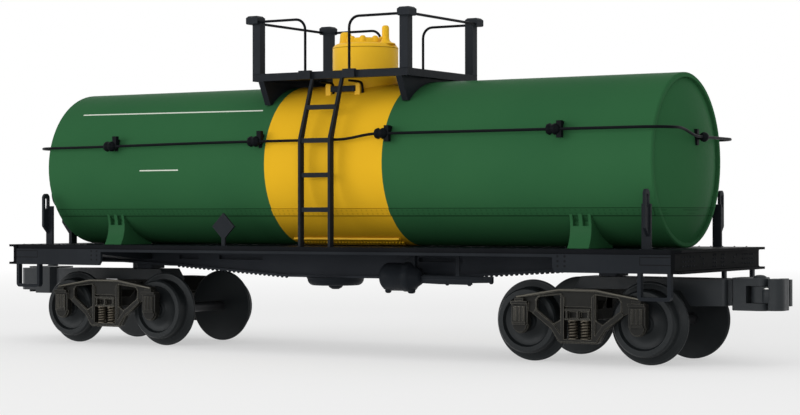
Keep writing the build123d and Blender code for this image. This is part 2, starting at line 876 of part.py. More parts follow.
# Hand brake: a slim stand with a gear case that swells outward, and its wheel facing the end
brake_x = -(frame_half_length - 6.0)
brake_y = -6.3
stand_size = 1.2
stand_width = 2.6
case_lift = 3.2
case_height = 20.1
case_bottom = deck_top + case_lift
case_top = deck_top + case_height
case_reach = 3.5
case_swell = 3.6
brake_wheel_radius = 5.0
brake_wheel_lift = 16.1
brake_wheel_height = deck_top + brake_wheel_lift
brake_rim = 0.8
brake_wheel_gap = 0.5
brake_boss = 0.9
with BuildPart() as hand_brake_stand:
    with BuildSketch(side(brake_y + stand_width / 2)):
        with BuildLine():
            Polyline(
                (brake_x + stand_size / 2, deck_top),
                (brake_x + stand_size / 2, case_top - 1.0),
                (brake_x - 0.4, case_top),
                (brake_x - case_reach + 0.8, case_top),
                (brake_x - case_reach, case_top - 2.0),
                (brake_x - case_reach, case_bottom + case_swell),
                (brake_x - stand_size / 2, case_bottom),
                (brake_x - stand_size / 2, deck_top),
                close=True,
            )
        make_face()
    extrude(amount=stand_width)
    with BuildSketch(across(brake_x - case_reach)):
        with Locations((brake_y, brake_wheel_height)):
            Circle(brake_boss)
    extrude(amount=-brake_wheel_gap)
with BuildPart() as hand_brake_wheel:
    with BuildSketch(across(brake_x - case_reach - brake_wheel_gap)):
        with Locations((brake_y, brake_wheel_height)):
            Circle(brake_wheel_radius)
            Circle(brake_wheel_radius - brake_rim, mode=Mode.SUBTRACT)
            Circle(1.3)
        with Locations((brake_y, brake_wheel_height)):
            with PolarLocations(brake_wheel_radius / 2, 5):
                Rectangle(brake_wheel_radius - 0.6, 0.6)
    extrude(amount=-0.7)

# Placard stands: blank diamonds on short posts
placard_x = -32.2
placard_y = 2.1 - deck_half_width
placard_lift = 5.75
placard_size = 5.6
placard_height = deck_top + placard_lift
with BuildPart() as near_placard:
    with BuildSketch(side(placard_y)):
        with Locations((placard_x, placard_height)):
            Rectangle(placard_size, placard_size, rotation=45)
        with Locations((placard_x, (deck_top + placard_height) / 2)):
            Rectangle(1.2, placard_height - deck_top)
    extrude(amount=0.7)
with BuildPart() as placards:
    add(near_placard.part)
    add(near_placard.part.rotate(Axis.Z, 180))

# Truck side frames: arched top chord, lower chord round the spring pocket, journal box at each end
frame_inner = 20.9
frame_web = 1.5
chord_depth = 2.5
chord_width = 0.65
box_depth = 2.2
box_half_width = 2.4
box_top = 14.4
box_low = 8.2
box_x = wheelbase / 2
arch_top = 18.2
arch_knee = 5.5
arch_end = box_x + 1.0
arch_end_height = 16.0
frame_foot = 3.5
pocket_half = 4.1
pocket_bottom = 4.6
pocket_top = 13.3
column_x = 5.0
window_top = 15.9
hole_outer = box_x - 4.6
hole_low_x = 7.2
hole_low = 8.4
chord_foot_x = hole_low_x - 1.8
chord_shift = 0.75
with BuildPart() as side_frames:
    with BuildSketch(side(-frame_inner)):
        with BuildLine():
            Polyline(
                (0, arch_top),
                (arch_knee, arch_top - 0.1),
                (arch_end, arch_end_height),
                (arch_end, arch_end_height - 0.8),
                (box_x + box_half_width, box_top),
                (box_x + box_half_width, box_low),
            )
            ThreePointArc(
                (box_x + box_half_width, box_low),
                (box_x, box_low - box_half_width),
                (box_x - box_half_width, box_low),
            )
            Polyline(
                (box_x - box_half_width, box_low),
                (box_x - box_half_width, hole_low + 3.6),
                (hole_outer + chord_shift, hole_low + 2.9),
                (hole_low_x + chord_shift, hole_low - 1.4),
                (chord_foot_x + chord_shift, frame_foot + 0.5),
                (chord_foot_x, frame_foot),
                (0, frame_foot),
            )
            mirror(about=Plane.YZ)
        make_face()
        for sign in (-1, 1):
            with BuildLine():
                Polyline(
                    (sign * column_x, arch_top - 1.4),
                    (sign * (hole_outer - 0.8), arch_end_height + 0.1),
                    (sign * hole_outer, arch_end_height - 0.9),
                    (sign * hole_outer, hole_low + 4.0),
                    (sign * hole_low_x, hole_low),
                    (sign * column_x, hole_low + 1.3),
                    close=True,
                )
            make_face(mode=Mode.SUBTRACT)
        with Locations((0, (pocket_bottom + pocket_top) / 2)):
            Rectangle(2 * pocket_half, pocket_top - pocket_bottom, mode=Mode.SUBTRACT)
    extrude(amount=frame_web)
    with BuildSketch(side(-frame_inner)):
        with BuildLine():
            Polyline(
                (0, arch_top),
                (arch_knee, arch_top - 0.1),
                (arch_end, arch_end_height),
                (arch_end, arch_end_height - chord_width),
                (arch_knee, arch_top - 0.1 - chord_width),
                (0, arch_top - chord_width),
            )
            mirror(about=Plane.YZ)
        make_face()
    extrude(amount=chord_depth)
    with BuildSketch(side(-frame_inner)):
        with BuildLine():
            Polyline(
                (0, pocket_bottom),
                (pocket_half, pocket_bottom),
                (hole_low_x, hole_low),
                (hole_outer, hole_low + 4.0),
                (hole_outer + chord_shift, hole_low + 2.9),
                (hole_low_x + chord_shift, hole_low - 1.0),
                (chord_foot_x, frame_foot + 0.4),
                (0, frame_foot + 0.4),
            )
            mirror(about=Plane.YZ)
        make_face()
        for sign in (-1, 1):
            with BuildLine():
                Polyline(
                    (sign * pocket_half, pocket_bottom),
                    (sign * pocket_half, window_top),
                    (sign * column_x, arch_top - 1.4),
                    (sign * column_x, pocket_bottom + 1.0),
                    close=True,
                )
            make_face()
    extrude(amount=chord_depth - 0.5)
    with BuildSketch(side(-frame_inner)):
        with Locations((-box_x, (box_top + box_low) / 2), (box_x, (box_top + box_low) / 2)):
            Rectangle(2 * box_half_width, box_top - box_low)
        with Locations((-box_x, box_low), (box_x, box_low)):
            Circle(box_half_width - 0.3)
    extrude(amount=box_depth)
    with BuildSketch(side(-frame_inner)):
        with Locations((-box_x, tread_radius), (box_x, tread_radius)):
            Circle(journal_radius + journal_fit)
    extrude(amount=journal_end - frame_inner + 0.1, mode=Mode.SUBTRACT)
    mirror(about=Plane.XZ)

# Truck bolster: cross beam through the spring pockets, raised in the middle
bolster_half_length = 3.7
bolster_end_top = 12.6
bolster_top = 17.6
bolster_reach = 22.4
recess_x = 1.8
recess_length = 2.7
recess_tall = 1.7
recess_depth = 1.0
with BuildPart() as truck_bolster:
    with BuildSketch(across(-bolster_half_length)):
        with BuildLine():
            Polyline(
                (0, bolster_bottom),
                (bolster_reach, bolster_bottom),
                (bolster_reach, bolster_end_top),
                (15.0, bolster_end_top),
                (9.0, bolster_top),
                (0, bolster_top),
                close=True,
            )
        make_face()
        mirror(about=Plane.YZ)
    extrude(amount=2 * bolster_half_length)
    recess_height = (bolster_bottom + bolster_end_top) / 2 - 0.1
    for sign in (-1, 1):
        with BuildSketch(side(sign * bolster_reach)):
            with Locations((-recess_x, recess_height), (recess_x, recess_height)):
                Rectangle(recess_length, recess_tall)
        extrude(amount=sign * recess_depth, mode=Mode.SUBTRACT)
    with BuildSketch(level(bolster_bottom)):
        Circle(pin_radius + pin_fit)
    extrude(amount=bolster_top - bolster_bottom, mode=Mode.SUBTRACT)

# Springs: two coil columns in each pocket, turned with their coils as rings
spring_foot = pocket_bottom
spring_radius = 1.4
spring_wire = 0.4
spring_turns = 4
spring_core = 0.6
spring_x = 1.85
spring_y = 21.7
spring_pitch = (bolster_bottom - spring_foot - 2 * spring_wire) / (spring_turns - 1)
with BuildPart() as springs:
    with GridLocations(2 * spring_x, 2 * spring_y, 2, 2):
        with Locations((0, 0, rail_top + spring_foot)):
            on_foot = (Align.CENTER, Align.CENTER, Align.MIN)
            Cylinder(spring_core, bolster_bottom - spring_foot, align=on_foot)
        for turn in range(spring_turns):
            with Locations((0, 0, rail_top + spring_foot + spring_wire + turn * spring_pitch)):
                Cylinder(spring_radius, 2 * spring_wire)

# Coupler arm: deep bar over the bolster with the coupler head cast on its end
arm_half_width = 5.0
arm_top = plate_bottom - 0.1
arm_bottom = bolster_top
arm_inner_x = -7.6
arm_slant = 2.2
neck_start = 35.0
arm_drop = 10.0
neck_length = 1.2
neck_half_width = 3.4
neck_top = 20.7
neck_bottom = 13.7
head_start = neck_start + neck_length
head_end = head_start + 5.2
head_top = 21.2
head_bottom = 12.6
guard_bottom = 13.6
guard_depth = 7.1
pivot_x = head_end + 2.8
pivot_y = -3.9
lug_radius = 2.6
lug_thickness = 2.0
hinge_pin_radius = 1.1
hinge_fit = 0.06
with BuildPart() as coupler_arm:
    with BuildSketch(side(arm_half_width)):
        with BuildLine():
            Polyline(
                (arm_inner_x, arm_top),
                (neck_start, arm_top - 0.2),
                (neck_start, neck_bottom - 0.1),
                (neck_start - arm_drop, neck_bottom - 0.3),
                (neck_start - arm_drop - 3.0, arm_bottom),
                (arm_inner_x - arm_slant, arm_bottom),
                close=True,
            )
        make_face()
    extrude(amount=2 * arm_half_width)
    fillet(coupler_arm.edges().filter_by(Axis.Z), radius=1.2)
    with BuildSketch(side(neck_half_width)):
        with Locations(((neck_start + head_start) / 2, (neck_top + neck_bottom) / 2)):
            Rectangle(neck_length, neck_top - neck_bottom)
    extrude(amount=2 * neck_half_width)
    with BuildSketch(level(head_bottom)):
        with BuildLine():
            lug_side = pivot_y - lug_radius
            Polyline(
                (head_start, -neck_half_width),
                (head_start + 1.4, lug_side + 0.2),
                (pivot_x, lug_side),
            )
            ThreePointArc(
                (pivot_x, lug_side),
                (pivot_x + lug_radius, pivot_y),
                (pivot_x, pivot_y + lug_radius),
            )
            Polyline(
                (pivot_x, pivot_y + lug_radius),
                (head_end, -1.0),
                (head_end, 3.0),
                (head_end + 1.8, 4.0),
                (head_end + 1.8, 5.8),
                (head_start + 1.4, 5.4),
                (head_start, neck_half_width),
                (head_start, -neck_half_width),
            )
        make_face()
    extrude(amount=head_top - head_bottom)
    with BuildSketch(level(head_bottom + lug_thickness)):
        with Locations((pivot_x + 2.2, pivot_y)):
            Rectangle(4 * lug_radius, 2 * lug_radius + 1.0)
    extrude(amount=head_top - head_bottom - 2 * lug_thickness, mode=Mode.SUBTRACT)
    with BuildSketch(level(guard_bottom)):
        with BuildLine():
            Polyline(
                (head_end, 3.0),
                (head_end + 3.0, 3.6),
                (head_end + 6.2, 2.4),
                (head_end + 8.8, 2.6),
                (head_end + 8.8, 4.2),
                (head_end + 6.4, 6.2),
                (head_end + 1.8, 5.8),
                (head_end, 5.4),
                close=True,
            )
        make_face()
    extrude(amount=guard_depth)
    with BuildSketch(level(head_bottom)):
        with Locations((pivot_x, pivot_y)):
            Circle(hinge_pin_radius)
    extrude(amount=head_top - head_bottom)
    with BuildSketch(level(head_top)):
        with Locations((pivot_x, pivot_y)):
            Circle(1.8)
    extrude(amount=0.5, taper=20)
    with BuildSketch(level(arm_bottom - 0.2)):
        Circle(pin_radius + pin_fit)
    extrude(amount=arm_top - arm_bottom + 0.4, mode=Mode.SUBTRACT)

# Coupler knuckle: hub between the lugs and a full-height nose
knuckle_gap = 0.12
knuckle_hub = 2.3
with BuildPart() as coupler_knuckle:
    hub_bottom = rail_top + head_bottom + lug_thickness + knuckle_gap
    with BuildSketch(Plane(origin=(pivot_x, pivot_y, hub_bottom))):
        Circle(knuckle_hub)
        with BuildLine():
            Polyline((0, -knuckle_hub), (3.4, -2.4), (3.4, 1.6), (0, knuckle_hub), close=True)
        make_face()
    extrude(amount=head_top - head_bottom - 2 * lug_thickness - 2 * knuckle_gap)
    with BuildSketch(Plane(origin=(pivot_x, pivot_y, rail_top + head_bottom + 0.1))):
        with BuildLine():
            Spline((3.1, -2.5), (5.2, -2.4), (6.6, -0.9), (6.7, 1.9), (6.3, 4.5), (5.2, 5.1))
            Polyline((5.2, 5.1), (4.4, 4.1), (4.2, 2.3), (3.1, 1.3), (3.1, -2.5))
        make_face()
    extrude(amount=head_top - head_bottom - 0.2)
    with BuildSketch(level(head_bottom)):
        with Locations((pivot_x, pivot_y)):
            Circle(hinge_pin_radius + hinge_fit)
    extrude(amount=head_top - head_bottom, mode=Mode.SUBTRACT)

# Axle: shaft with a turned-down journal at each end
with BuildPart() as axle:
    with BuildSketch(side(0)):
        with Locations((0, tread_radius)):
            Circle(axle_radius)
    extrude(amount=wheel_face)
    with BuildSketch(side(-wheel_face)):
        with Locations((0, tread_radius)):
            Circle(journal_radius)
    extrude(amount=journal_end - wheel_face)
    mirror(about=Plane.XZ)

# Wheels: flange, coned tread, rim and dished web, turned about the axle
with BuildPart() as wheels:
    with BuildSketch(across(0)):
        with BuildLine():
            r = tread_radius
            flange_side = wheel_back + flange_width
            Polyline((wheel_back, r + axle_radius), (wheel_back, r + flange_radius - 0.7))
            ThreePointArc(
                (wheel_back, r + flange_radius - 0.7),
                (wheel_back + 0.5, r + flange_radius),
                (wheel_back + 1.0, r + flange_radius - 0.6),
            )
            Polyline(
                (wheel_back + 1.0, r + flange_radius - 0.6),
                (flange_side, r + tread_radius + 0.25),
                (flange_side + 0.5, r + tread_radius),
                (wheel_face - 0.6, r + tread_radius - 0.1),
                (wheel_face, r + rim_radius),
                (wheel_face, r + rim_inner_radius),
                (wheel_face - dish_depth, r + rim_inner_radius - 0.5),
            )
            ThreePointArc(
                (wheel_face - dish_depth, r + rim_inner_radius - 0.5),
                (wheel_face - dish_depth - 0.3, r + 4.6),
                (wheel_face - dish_depth + 0.2, r + hub_radius + 0.2),
            )
            Polyline(
                (wheel_face - dish_depth + 0.2, r + hub_radius + 0.2),
                (wheel_face - 0.2, r + hub_radius - 0.3),
                (wheel_face - 0.2, r + axle_radius),
                (wheel_back, r + axle_radius),
            )
        make_face()
    revolve(axis=Axis((0, 0, rail_top + tread_radius), (0, 1, 0)))
    mirror(about=Plane.XZ)

# Pieces fixed to the car body stand in place
body_pieces = {
    "tank": tank,
    "dome": dome,
    "dome_fittings": dome_fittings,
    "tank_saddles": tank_saddles,
    "tank_anchor": tank_anchor,
    "walkway": walkway,
    "walkway_brackets": walkway_brackets,
    "walkway_posts": walkway_posts,
    "walkway_rails": walkway_rails,
    "ladders": ladders,
    "tank_handrail": tank_handrail,
    "handrail_stanchions": handrail_stanchions,
    "corner_posts": corner_posts,
    "deck": deck,
    "side_sills": side_sills,
    "end_sills": end_sills,
    "centre_sill": centre_girder,
    "floor_bearers": floor_bearers,
    "king_pins": king_pins,
    "corner_steps": corner_steps,
    "brake_cylinder": brake_cylinder,
    "brake_lever": brake_lever,
    "outlet_pan": outlet_pan,
    "air_tank": air_tank,
    "hand_brake_stand": hand_brake_stand,
    "hand_brake_wheel": hand_brake_wheel,
    "placards": placards,
}
for name, piece in body_pieces.items():
    piece.part.label = name
    export_step(piece.part, f"parts/{name}.step")

# Truck pieces are set at both ends, the left truck turned half round
truck_pieces = {
    "side_frames": side_frames,
    "truck_bolster": truck_bolster,
    "springs": springs,
    "coupler_arm": coupler_arm,
    "coupler_knuckle": coupler_knuckle,
}
truck_places = {
    "a": Location((-truck_spacing / 2, 0, 0), (0, 0, 180)),
    "b": Location((truck_spacing / 2, 0, 0)),
}
for mark, place in truck_places.items():
    for name, piece in truck_pieces.items():
        placed = piece.part.moved(place)
        placed.label = f"{name}_{mark}"
        export_step(placed, f"parts/{name}_{mark}.step")

# Wheelsets from the left end to the right end
wheelset_places = {
    "1": -truck_spacing / 2 - wheelbase / 2,
    "2": -truck_spacing / 2 + wheelbase / 2,
    "3": truck_spacing / 2 - wheelbase / 2,
    "4": truck_spacing / 2 + wheelbase / 2,
}
for mark, x in wheelset_places.items():
    for name, piece in {"axle": axle, "wheels": wheels}.items():
        placed = piece.part.moved(Location((x, 0, 0)))
        placed.label = f"{name}_{mark}"
        export_step(placed, f"parts/{name}_{mark}.step")
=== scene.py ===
"""Looks of the model railway tank car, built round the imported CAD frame.

The car's sizes are in millimetres, with heights above the rail; point and level turn them into metres.
"""

import math

import bpy
from mathutils import Matrix, Vector


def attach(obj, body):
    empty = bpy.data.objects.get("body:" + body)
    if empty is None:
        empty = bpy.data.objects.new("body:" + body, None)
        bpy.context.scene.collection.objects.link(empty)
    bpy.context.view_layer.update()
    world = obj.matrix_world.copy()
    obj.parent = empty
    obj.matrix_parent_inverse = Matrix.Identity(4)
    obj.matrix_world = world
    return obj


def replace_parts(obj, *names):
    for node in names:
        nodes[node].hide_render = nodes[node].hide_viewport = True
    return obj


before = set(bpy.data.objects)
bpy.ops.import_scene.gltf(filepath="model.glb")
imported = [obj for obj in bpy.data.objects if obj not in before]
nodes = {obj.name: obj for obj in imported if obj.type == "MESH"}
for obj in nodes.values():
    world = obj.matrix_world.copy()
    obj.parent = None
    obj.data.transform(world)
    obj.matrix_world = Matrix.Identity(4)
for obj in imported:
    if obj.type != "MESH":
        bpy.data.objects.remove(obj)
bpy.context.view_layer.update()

MM = 0.001

# How far the rail's top lies above the record's zero, the lowest point of the wheel flanges
RAIL = 2.15

# Sizes taken from the CAD car
TANK_RADIUS = 23.9
TANK_HEIGHT = 52.85
TANK_HALF = 103.2
TRUCK_X = 81.1
BOX_X = 17.35
DECK_BOTTOM = 27.6
DECK_TOP = 28.9
END_WEB_X = 112.2

# The two sides or ends of the car, and its four corners as an end and a side
SIDES = (-1, 1)
CORNERS = ((-1, -1), (-1, 1), (1, -1), (1, 1))

UP = (0, 0, 1)
DOWN = (0, 0, -1)

# Camera, worked out from the photograph
CAMERA_AT = (313.13, -499.87, 38.16)
CAMERA_YAW = math.radians(31.07)
CAMERA_PITCH = math.radians(0.20)
CAMERA_ROLL = math.radians(-0.07)
CAMERA_LENS = 88.88
SENSOR_WIDTH = 36.0


def level(height):
    """A height above the rail as metres above the record's zero."""
    return (height + RAIL) * MM


def point(x, y, height):
    """A place on the car in metres, from millimetres along, across and above the rail."""
    return Vector((x * MM, y * MM, level(height)))


def make_camera():
    """The photograph's camera."""
    data = bpy.data.cameras.new("camera")
    data.sensor_fit = "HORIZONTAL"
    data.sensor_width = SENSOR_WIDTH
    data.lens = CAMERA_LENS
    data.clip_start = 0.01
    data.clip_end = 60.0
    camera = bpy.data.objects.new("camera", data)
    bpy.context.scene.collection.objects.link(camera)
    turn = Matrix.Rotation(CAMERA_YAW, 4, "Z") @ Matrix.Rotation(math.pi / 2 + CAMERA_PITCH, 4, "X")
    roll = Matrix.Rotation(CAMERA_ROLL, 4, "Z")
    camera.matrix_world = Matrix.Translation(point(*CAMERA_AT)) @ turn @ roll
    bpy.context.scene.camera = camera


class Nodes:
    """Builds a node tree. An input is fed with another node's output, a colour or a number."""

    def __init__(self, tree):
        self.tree = tree
        tree.nodes.clear()

    def feed(self, node, *given):
        """Each pair holds an input's name or number and what feeds it."""
        for key, value in given:
            socket = node.inputs[key]
            if isinstance(value, bpy.types.NodeSocket):
                self.tree.links.new(value, socket)
            elif isinstance(value, tuple):
                socket.default_value = (*value, 1.0)
            else:
                socket.default_value = value

    def add(self, kind, *given, **settings):
        """A new node with its settings made and its inputs fed."""
        node = self.tree.nodes.new(kind)
        for key, value in settings.items():
            setattr(node, key, value)
        self.feed(node, *given)
        return node

    def math(self, operation, *values):
        return self.add("ShaderNodeMath", *enumerate(values), operation=operation).outputs["Value"]

    def remap(self, value, low, high, to_low, to_high):
        """The value moved from one range to another, and held inside it."""
        node = self.add(
            "ShaderNodeMapRange", ("Value", value), ("From Min", low), ("From Max", high),
            ("To Min", to_low), ("To Max", to_high),
        )
        return node.outputs["Result"]


NOISE_ROUGHNESS = 0.55
BEVEL_SAMPLES = 3


class Paint(Nodes):
    """The node tree of one material."""

    def __init__(self, name):
        self.mat = bpy.data.materials.new(name)
        self.mat.use_nodes = True
        super().__init__(self.mat.node_tree)
        self.shader = self.add("ShaderNodeBsdfPrincipled")
        self.out = self.add("ShaderNodeOutputMaterial", ("Surface", self.shader.outputs["BSDF"]))
        self.coords = self.add("ShaderNodeTexCoord").outputs["Object"]

    def normal(self):
        return self.add("ShaderNodeNewGeometry").outputs["Normal"]

    def axes(self, vector):
        """The outputs X, Y and Z of a vector."""
        return self.add("ShaderNodeSeparateXYZ", ("Vector", vector)).outputs

    def noise(self, scale, detail):
        node = self.add(
            "ShaderNodeTexNoise", ("Vector", self.coords), ("Scale", scale), ("Detail", detail),
            ("Roughness", NOISE_ROUGHNESS),
        )
        return node.outputs["Fac"]

    def mix(self, factor, first, second):
        """The first colour where the factor is nought, the second where it is one."""
        node = self.add("ShaderNodeMix", ("Factor", factor), (6, first), (7, second), data_type="RGBA")
        return node.outputs[2]

    def bevel(self, radius):
        """The surface's direction with its edges rounded off, the radius in millimetres."""
        node = self.add("ShaderNodeBevel", ("Radius", radius * MM), samples=BEVEL_SAMPLES)
        return node.outputs["Normal"]

    def bump(self, height, strength, depth, normal):
        """The direction made uneven, the depth in millimetres."""
        node = self.add(
            "ShaderNodeBump", ("Height", height), ("Strength", strength), ("Distance", depth * MM),
            ("Normal", normal),
        )
        return node.outputs["Normal"]


# Scales of the noise for slow blotches and for fine speckle
MOTTLE_SCALE = 55.0
SPECKLE_SCALE = 900.0

# How much the gloss varies, the most dust on a level face, and how far from an edge wear shows
GLOSS_SPREAD = 0.12
DUST_MOST = 0.3
WEAR_REACH = 0.28


def mottle(paint, scale=MOTTLE_SCALE, reach=0.18):
    """Slow blotches: the noise, and the same spread from nought to one."""
    broad = paint.noise(scale, 4.0)
    return broad, paint.remap(broad, 0.5 - reach, 0.5 + reach, 0.0, 1.0)


def dust_share(paint):
    """How much dust shows: on faces that look up, in speckles."""
    up = paint.remap(paint.axes(paint.normal())["Z"], 0.2, 1.0, 0.0, DUST_MOST)
    speckle = paint.remap(paint.noise(SPECKLE_SCALE, 3.0), 0.35, 0.7, 0.2, 1.0)
    return paint.math("MULTIPLY", up, speckle)


def wear_share(paint, broad, most):
    """How much of the worn colour shows: at edges, in patches."""
    same = paint.add(
        "ShaderNodeVectorMath", (0, paint.normal()), (1, paint.bevel(WEAR_REACH)), operation="DOT_PRODUCT",
    )
    rim = paint.remap(same.outputs["Value"], 0.995, 0.86, 0.0, most)
    patch = paint.remap(broad, 0.4, 0.6, 0.3, 1.0)
    return paint.math("MULTIPLY", rim, patch)


def finish_surface(paint, colour, rough, spread, shine, edge, grain, grain_depth):
    """Colour, patchy gloss, soft edges and fine grain; edge and grain depth are in millimetres."""
    speckle = paint.noise(SPECKLE_SCALE, 3.0)
    gloss = paint.remap(speckle, 0.3, 0.7, rough - spread / 2, rough + spread / 2)
    skin = paint.bump(paint.noise(grain, 2.0), 0.5, grain_depth, paint.bevel(edge))
    paint.feed(paint.shader, ("Base Color", colour), ("Roughness", gloss))
    paint.feed(paint.shader, ("Specular IOR Level", shine), ("Normal", skin))


def moulded(name, base, shade, rough=0.45, shine=0.25, edge=0.18, grain=2600.0, grain_depth=0.012,
            metal=0.0, dust=None, worn=None, wear_amount=0.55):
    """Moulded, cast or painted surface: mottled colour, dust on upward faces, lighter worn edges."""
    paint = Paint(name)
    broad, spread = mottle(paint)
    colour = paint.mix(spread, base, shade)
    if dust is not None:
        colour = paint.mix(dust_share(paint), colour, dust)
    if worn is not None:
        colour = paint.mix(wear_share(paint, broad, wear_amount), colour, worn)
    paint.feed(paint.shader, ("Metallic", metal))
    finish_surface(paint, colour, rough, GLOSS_SPREAD, shine, edge, grain, grain_depth)
    return paint.mat


def between(paint, value, low, high):
    """One where the value lies between low and high."""
    over = paint.math("GREATER_THAN", value, low)
    under = paint.math("LESS_THAN", value, high)
    return paint.math("MULTIPLY", over, under)


def disc(paint, along, up, radius):
    """One where the two distances lie within a radius."""
    square = paint.math("ADD", paint.math("MULTIPLY", along, along), paint.math("MULTIPLY", up, up))
    return paint.math("LESS_THAN", square, radius ** 2)


def dimmed(paint, colour, factor, share):
    """The colour scaled down to a share where the factor is one."""
    dark = paint.add("ShaderNodeVectorMath", (0, colour), ("Scale", share), operation="SCALE")
    return paint.mix(factor, colour, dark.outputs["Vector"])


GREEN = (0.0287, 0.111, 0.0433)
GREEN_DEEP = (0.0250, 0.1006, 0.0399)
YELLOW = (0.74, 0.425, 0.018)
YELLOW_DEEP = (0.70, 0.395, 0.016)
LINE_WHITE = (0.60, 0.64, 0.56)

# The yellow band's half width, and half the width of the soft change of colour at its edge
BAND_HALF = 20.25
BAND_BLUR = 0.06

# Plain thin lines on the flank: start and end along the car and the height at each, seen from the near side
LINE_TABLE = (
    (-94.4, -25.1, 69.6, 69.1),
    (-66.6, -51.9, 51.6, 51.6),
)
LINE_HALF = 0.18

# Height of the lap's two edges, and the pitch, radius and distance from the edge of the rivets between them
LAP_TOP = 39.9
LAP_FOOT = 37.72
LAP_PITCH = 1.7
LAP_RIVET = 0.30
LAP_INSET = 0.6

# Where the flank's shine changes to the duller shine of the heads, from the car's middle
FLANK_END = 101.9
HEAD_START = 102.6


def thin_lines(paint, place):
    """One on the thin lines; the far side has them turned half round."""
    along = paint.math("MULTIPLY", place["X"], paint.math("SIGN", place["Y"]))
    lines = 0.0
    for start, end, first, last in LINE_TABLE:
        run = between(paint, along, -end * MM, -start * MM)
        middle = paint.remap(along, -end * MM, -start * MM, level(last), level(first))
        off = paint.math("SUBTRACT", place["Z"], middle)
        line = paint.math("MULTIPLY", run, between(paint, off, -LINE_HALF * MM, LINE_HALF * MM))
        lines = paint.math("MAXIMUM", lines, line)
    return lines


def add_lap_lines(paint, place, colour):
    """Dark lines at the lapped sheet's edges and faint rivets between them; the lower sheet and the lap strip
    are darkened as painted shade.
    """
    height = place["Z"]
    # Painted shade: the sheet below the lap and the downward-facing lap strip are drawn darker
    lower = paint.remap(height, level(LAP_FOOT + 0.05), level(LAP_FOOT - 0.05), 0.0, 1.0)
    colour = dimmed(paint, colour, lower, 0.84)
    strip = between(paint, height, level(LAP_FOOT), level(LAP_TOP))
    colour = dimmed(paint, colour, strip, 0.88)
    for middle, half in ((LAP_TOP, 0.14), (LAP_FOOT, 0.17)):
        edge = between(paint, height, level(middle - half), level(middle + half))
        colour = dimmed(paint, colour, edge, 0.62)
    cell = paint.math("FRACT", paint.math("DIVIDE", place["X"], LAP_PITCH * MM))
    along = paint.math("MULTIPLY", paint.math("SUBTRACT", cell, 0.5), LAP_PITCH * MM)
    for row in (LAP_TOP - LAP_INSET, LAP_FOOT + LAP_INSET):
        up = paint.math("SUBTRACT", height, level(row))
        colour = dimmed(paint, colour, disc(paint, along, up, LAP_RIVET * MM), 0.84)
    return colour


def tank_paint(name, banded=True):
    """Satin green; the tank also has the yellow band round its middle, the thin lines and the laps, whose
    lower sheet carries painted shade.
    """
    paint = Paint(name)
    spread = mottle(paint, 26.0, 0.2)[1]
    colour = paint.mix(spread, GREEN, GREEN_DEEP)
    shine = 0.02
    if banded:
        place = paint.axes(paint.coords)
        colour = paint.mix(thin_lines(paint, place), colour, LINE_WHITE)
        out = paint.math("ABSOLUTE", place["X"])
        inside = paint.remap(out, (BAND_HALF - BAND_BLUR) * MM, (BAND_HALF + BAND_BLUR) * MM, 1.0, 0.0)
        colour = paint.mix(inside, colour, paint.mix(spread, YELLOW, YELLOW_DEEP))
        colour = add_lap_lines(paint, place, colour)
        shine = paint.remap(out, FLANK_END * MM, HEAD_START * MM, 0.005, 0.003)
    finish_surface(
        paint, colour, rough=0.36, spread=0.10, shine=shine, edge=0.3, grain=2200.0, grain_depth=0.008,
    )
    return paint.mat


BLACK = (0.0090, 0.0110, 0.0140)
BLACK_PALE = (0.0125, 0.0150, 0.0185)
BLACK_WORN = (0.050, 0.056, 0.064)
# Deepest black: the wires' own colour, and painted shade for the end panels' pressed outline and rivets
DEEP_BLACK_AND_SHADE = (0.0035, 0.0042, 0.0055)

# Pressed outline on the deep end panels, as its two ends along the car and its foot and head; its width;
# and the places and radius of the panels' rivets
PANEL_OUTLINE = (102.2, 111.4, 24.8, 27.1)
OUTLINE_WIDTH = 0.28
PANEL_RIVETS = [(x, height) for x in (78.6, 80.7) for height in (24.4, 25.7, 27.0)]
RIVET_RADIUS = 0.34


def panel_field(paint, along, height, inset):
    """One inside the pressed outline, drawn in by an inset."""
    start, end, foot, head = PANEL_OUTLINE
    wide = between(paint, along, (start + inset) * MM, (end - inset) * MM)
    tall = between(paint, height, level(foot + inset), level(head - inset))
    return paint.math("MULTIPLY", wide, tall)


def panel_paint(name):
    """Black plastic of the side sills, with the end panels' pressed outline and rivets drawn in as painted
    shade.
    """
    paint = Paint(name)
    colour = paint.mix(mottle(paint)[1], BLACK, BLACK_PALE)
    place = paint.axes(paint.coords)
    along = paint.math("ABSOLUTE", place["X"])
    fields = [panel_field(paint, along, place["Z"], inset) for inset in (0.0, OUTLINE_WIDTH)]
    outline_shade = paint.math("SUBTRACT", *fields)
    for x, height in PANEL_RIVETS:
        out = paint.math("SUBTRACT", along, x * MM)
        up = paint.math("SUBTRACT", place["Z"], level(height))
        outline_shade = paint.math("MAXIMUM", outline_shade, disc(paint, out, up, RIVET_RADIUS * MM))
    # Painted shade: the pressed outline and the rivets are drawn darker than the panel
    colour = paint.mix(outline_shade, colour, DEEP_BLACK_AND_SHADE)
    finish_surface(
        paint, colour, rough=0.48, spread=GLOSS_SPREAD, shine=0.06, edge=0.18, grain=2600.0,
        grain_depth=0.012,
    )
    return paint.mat


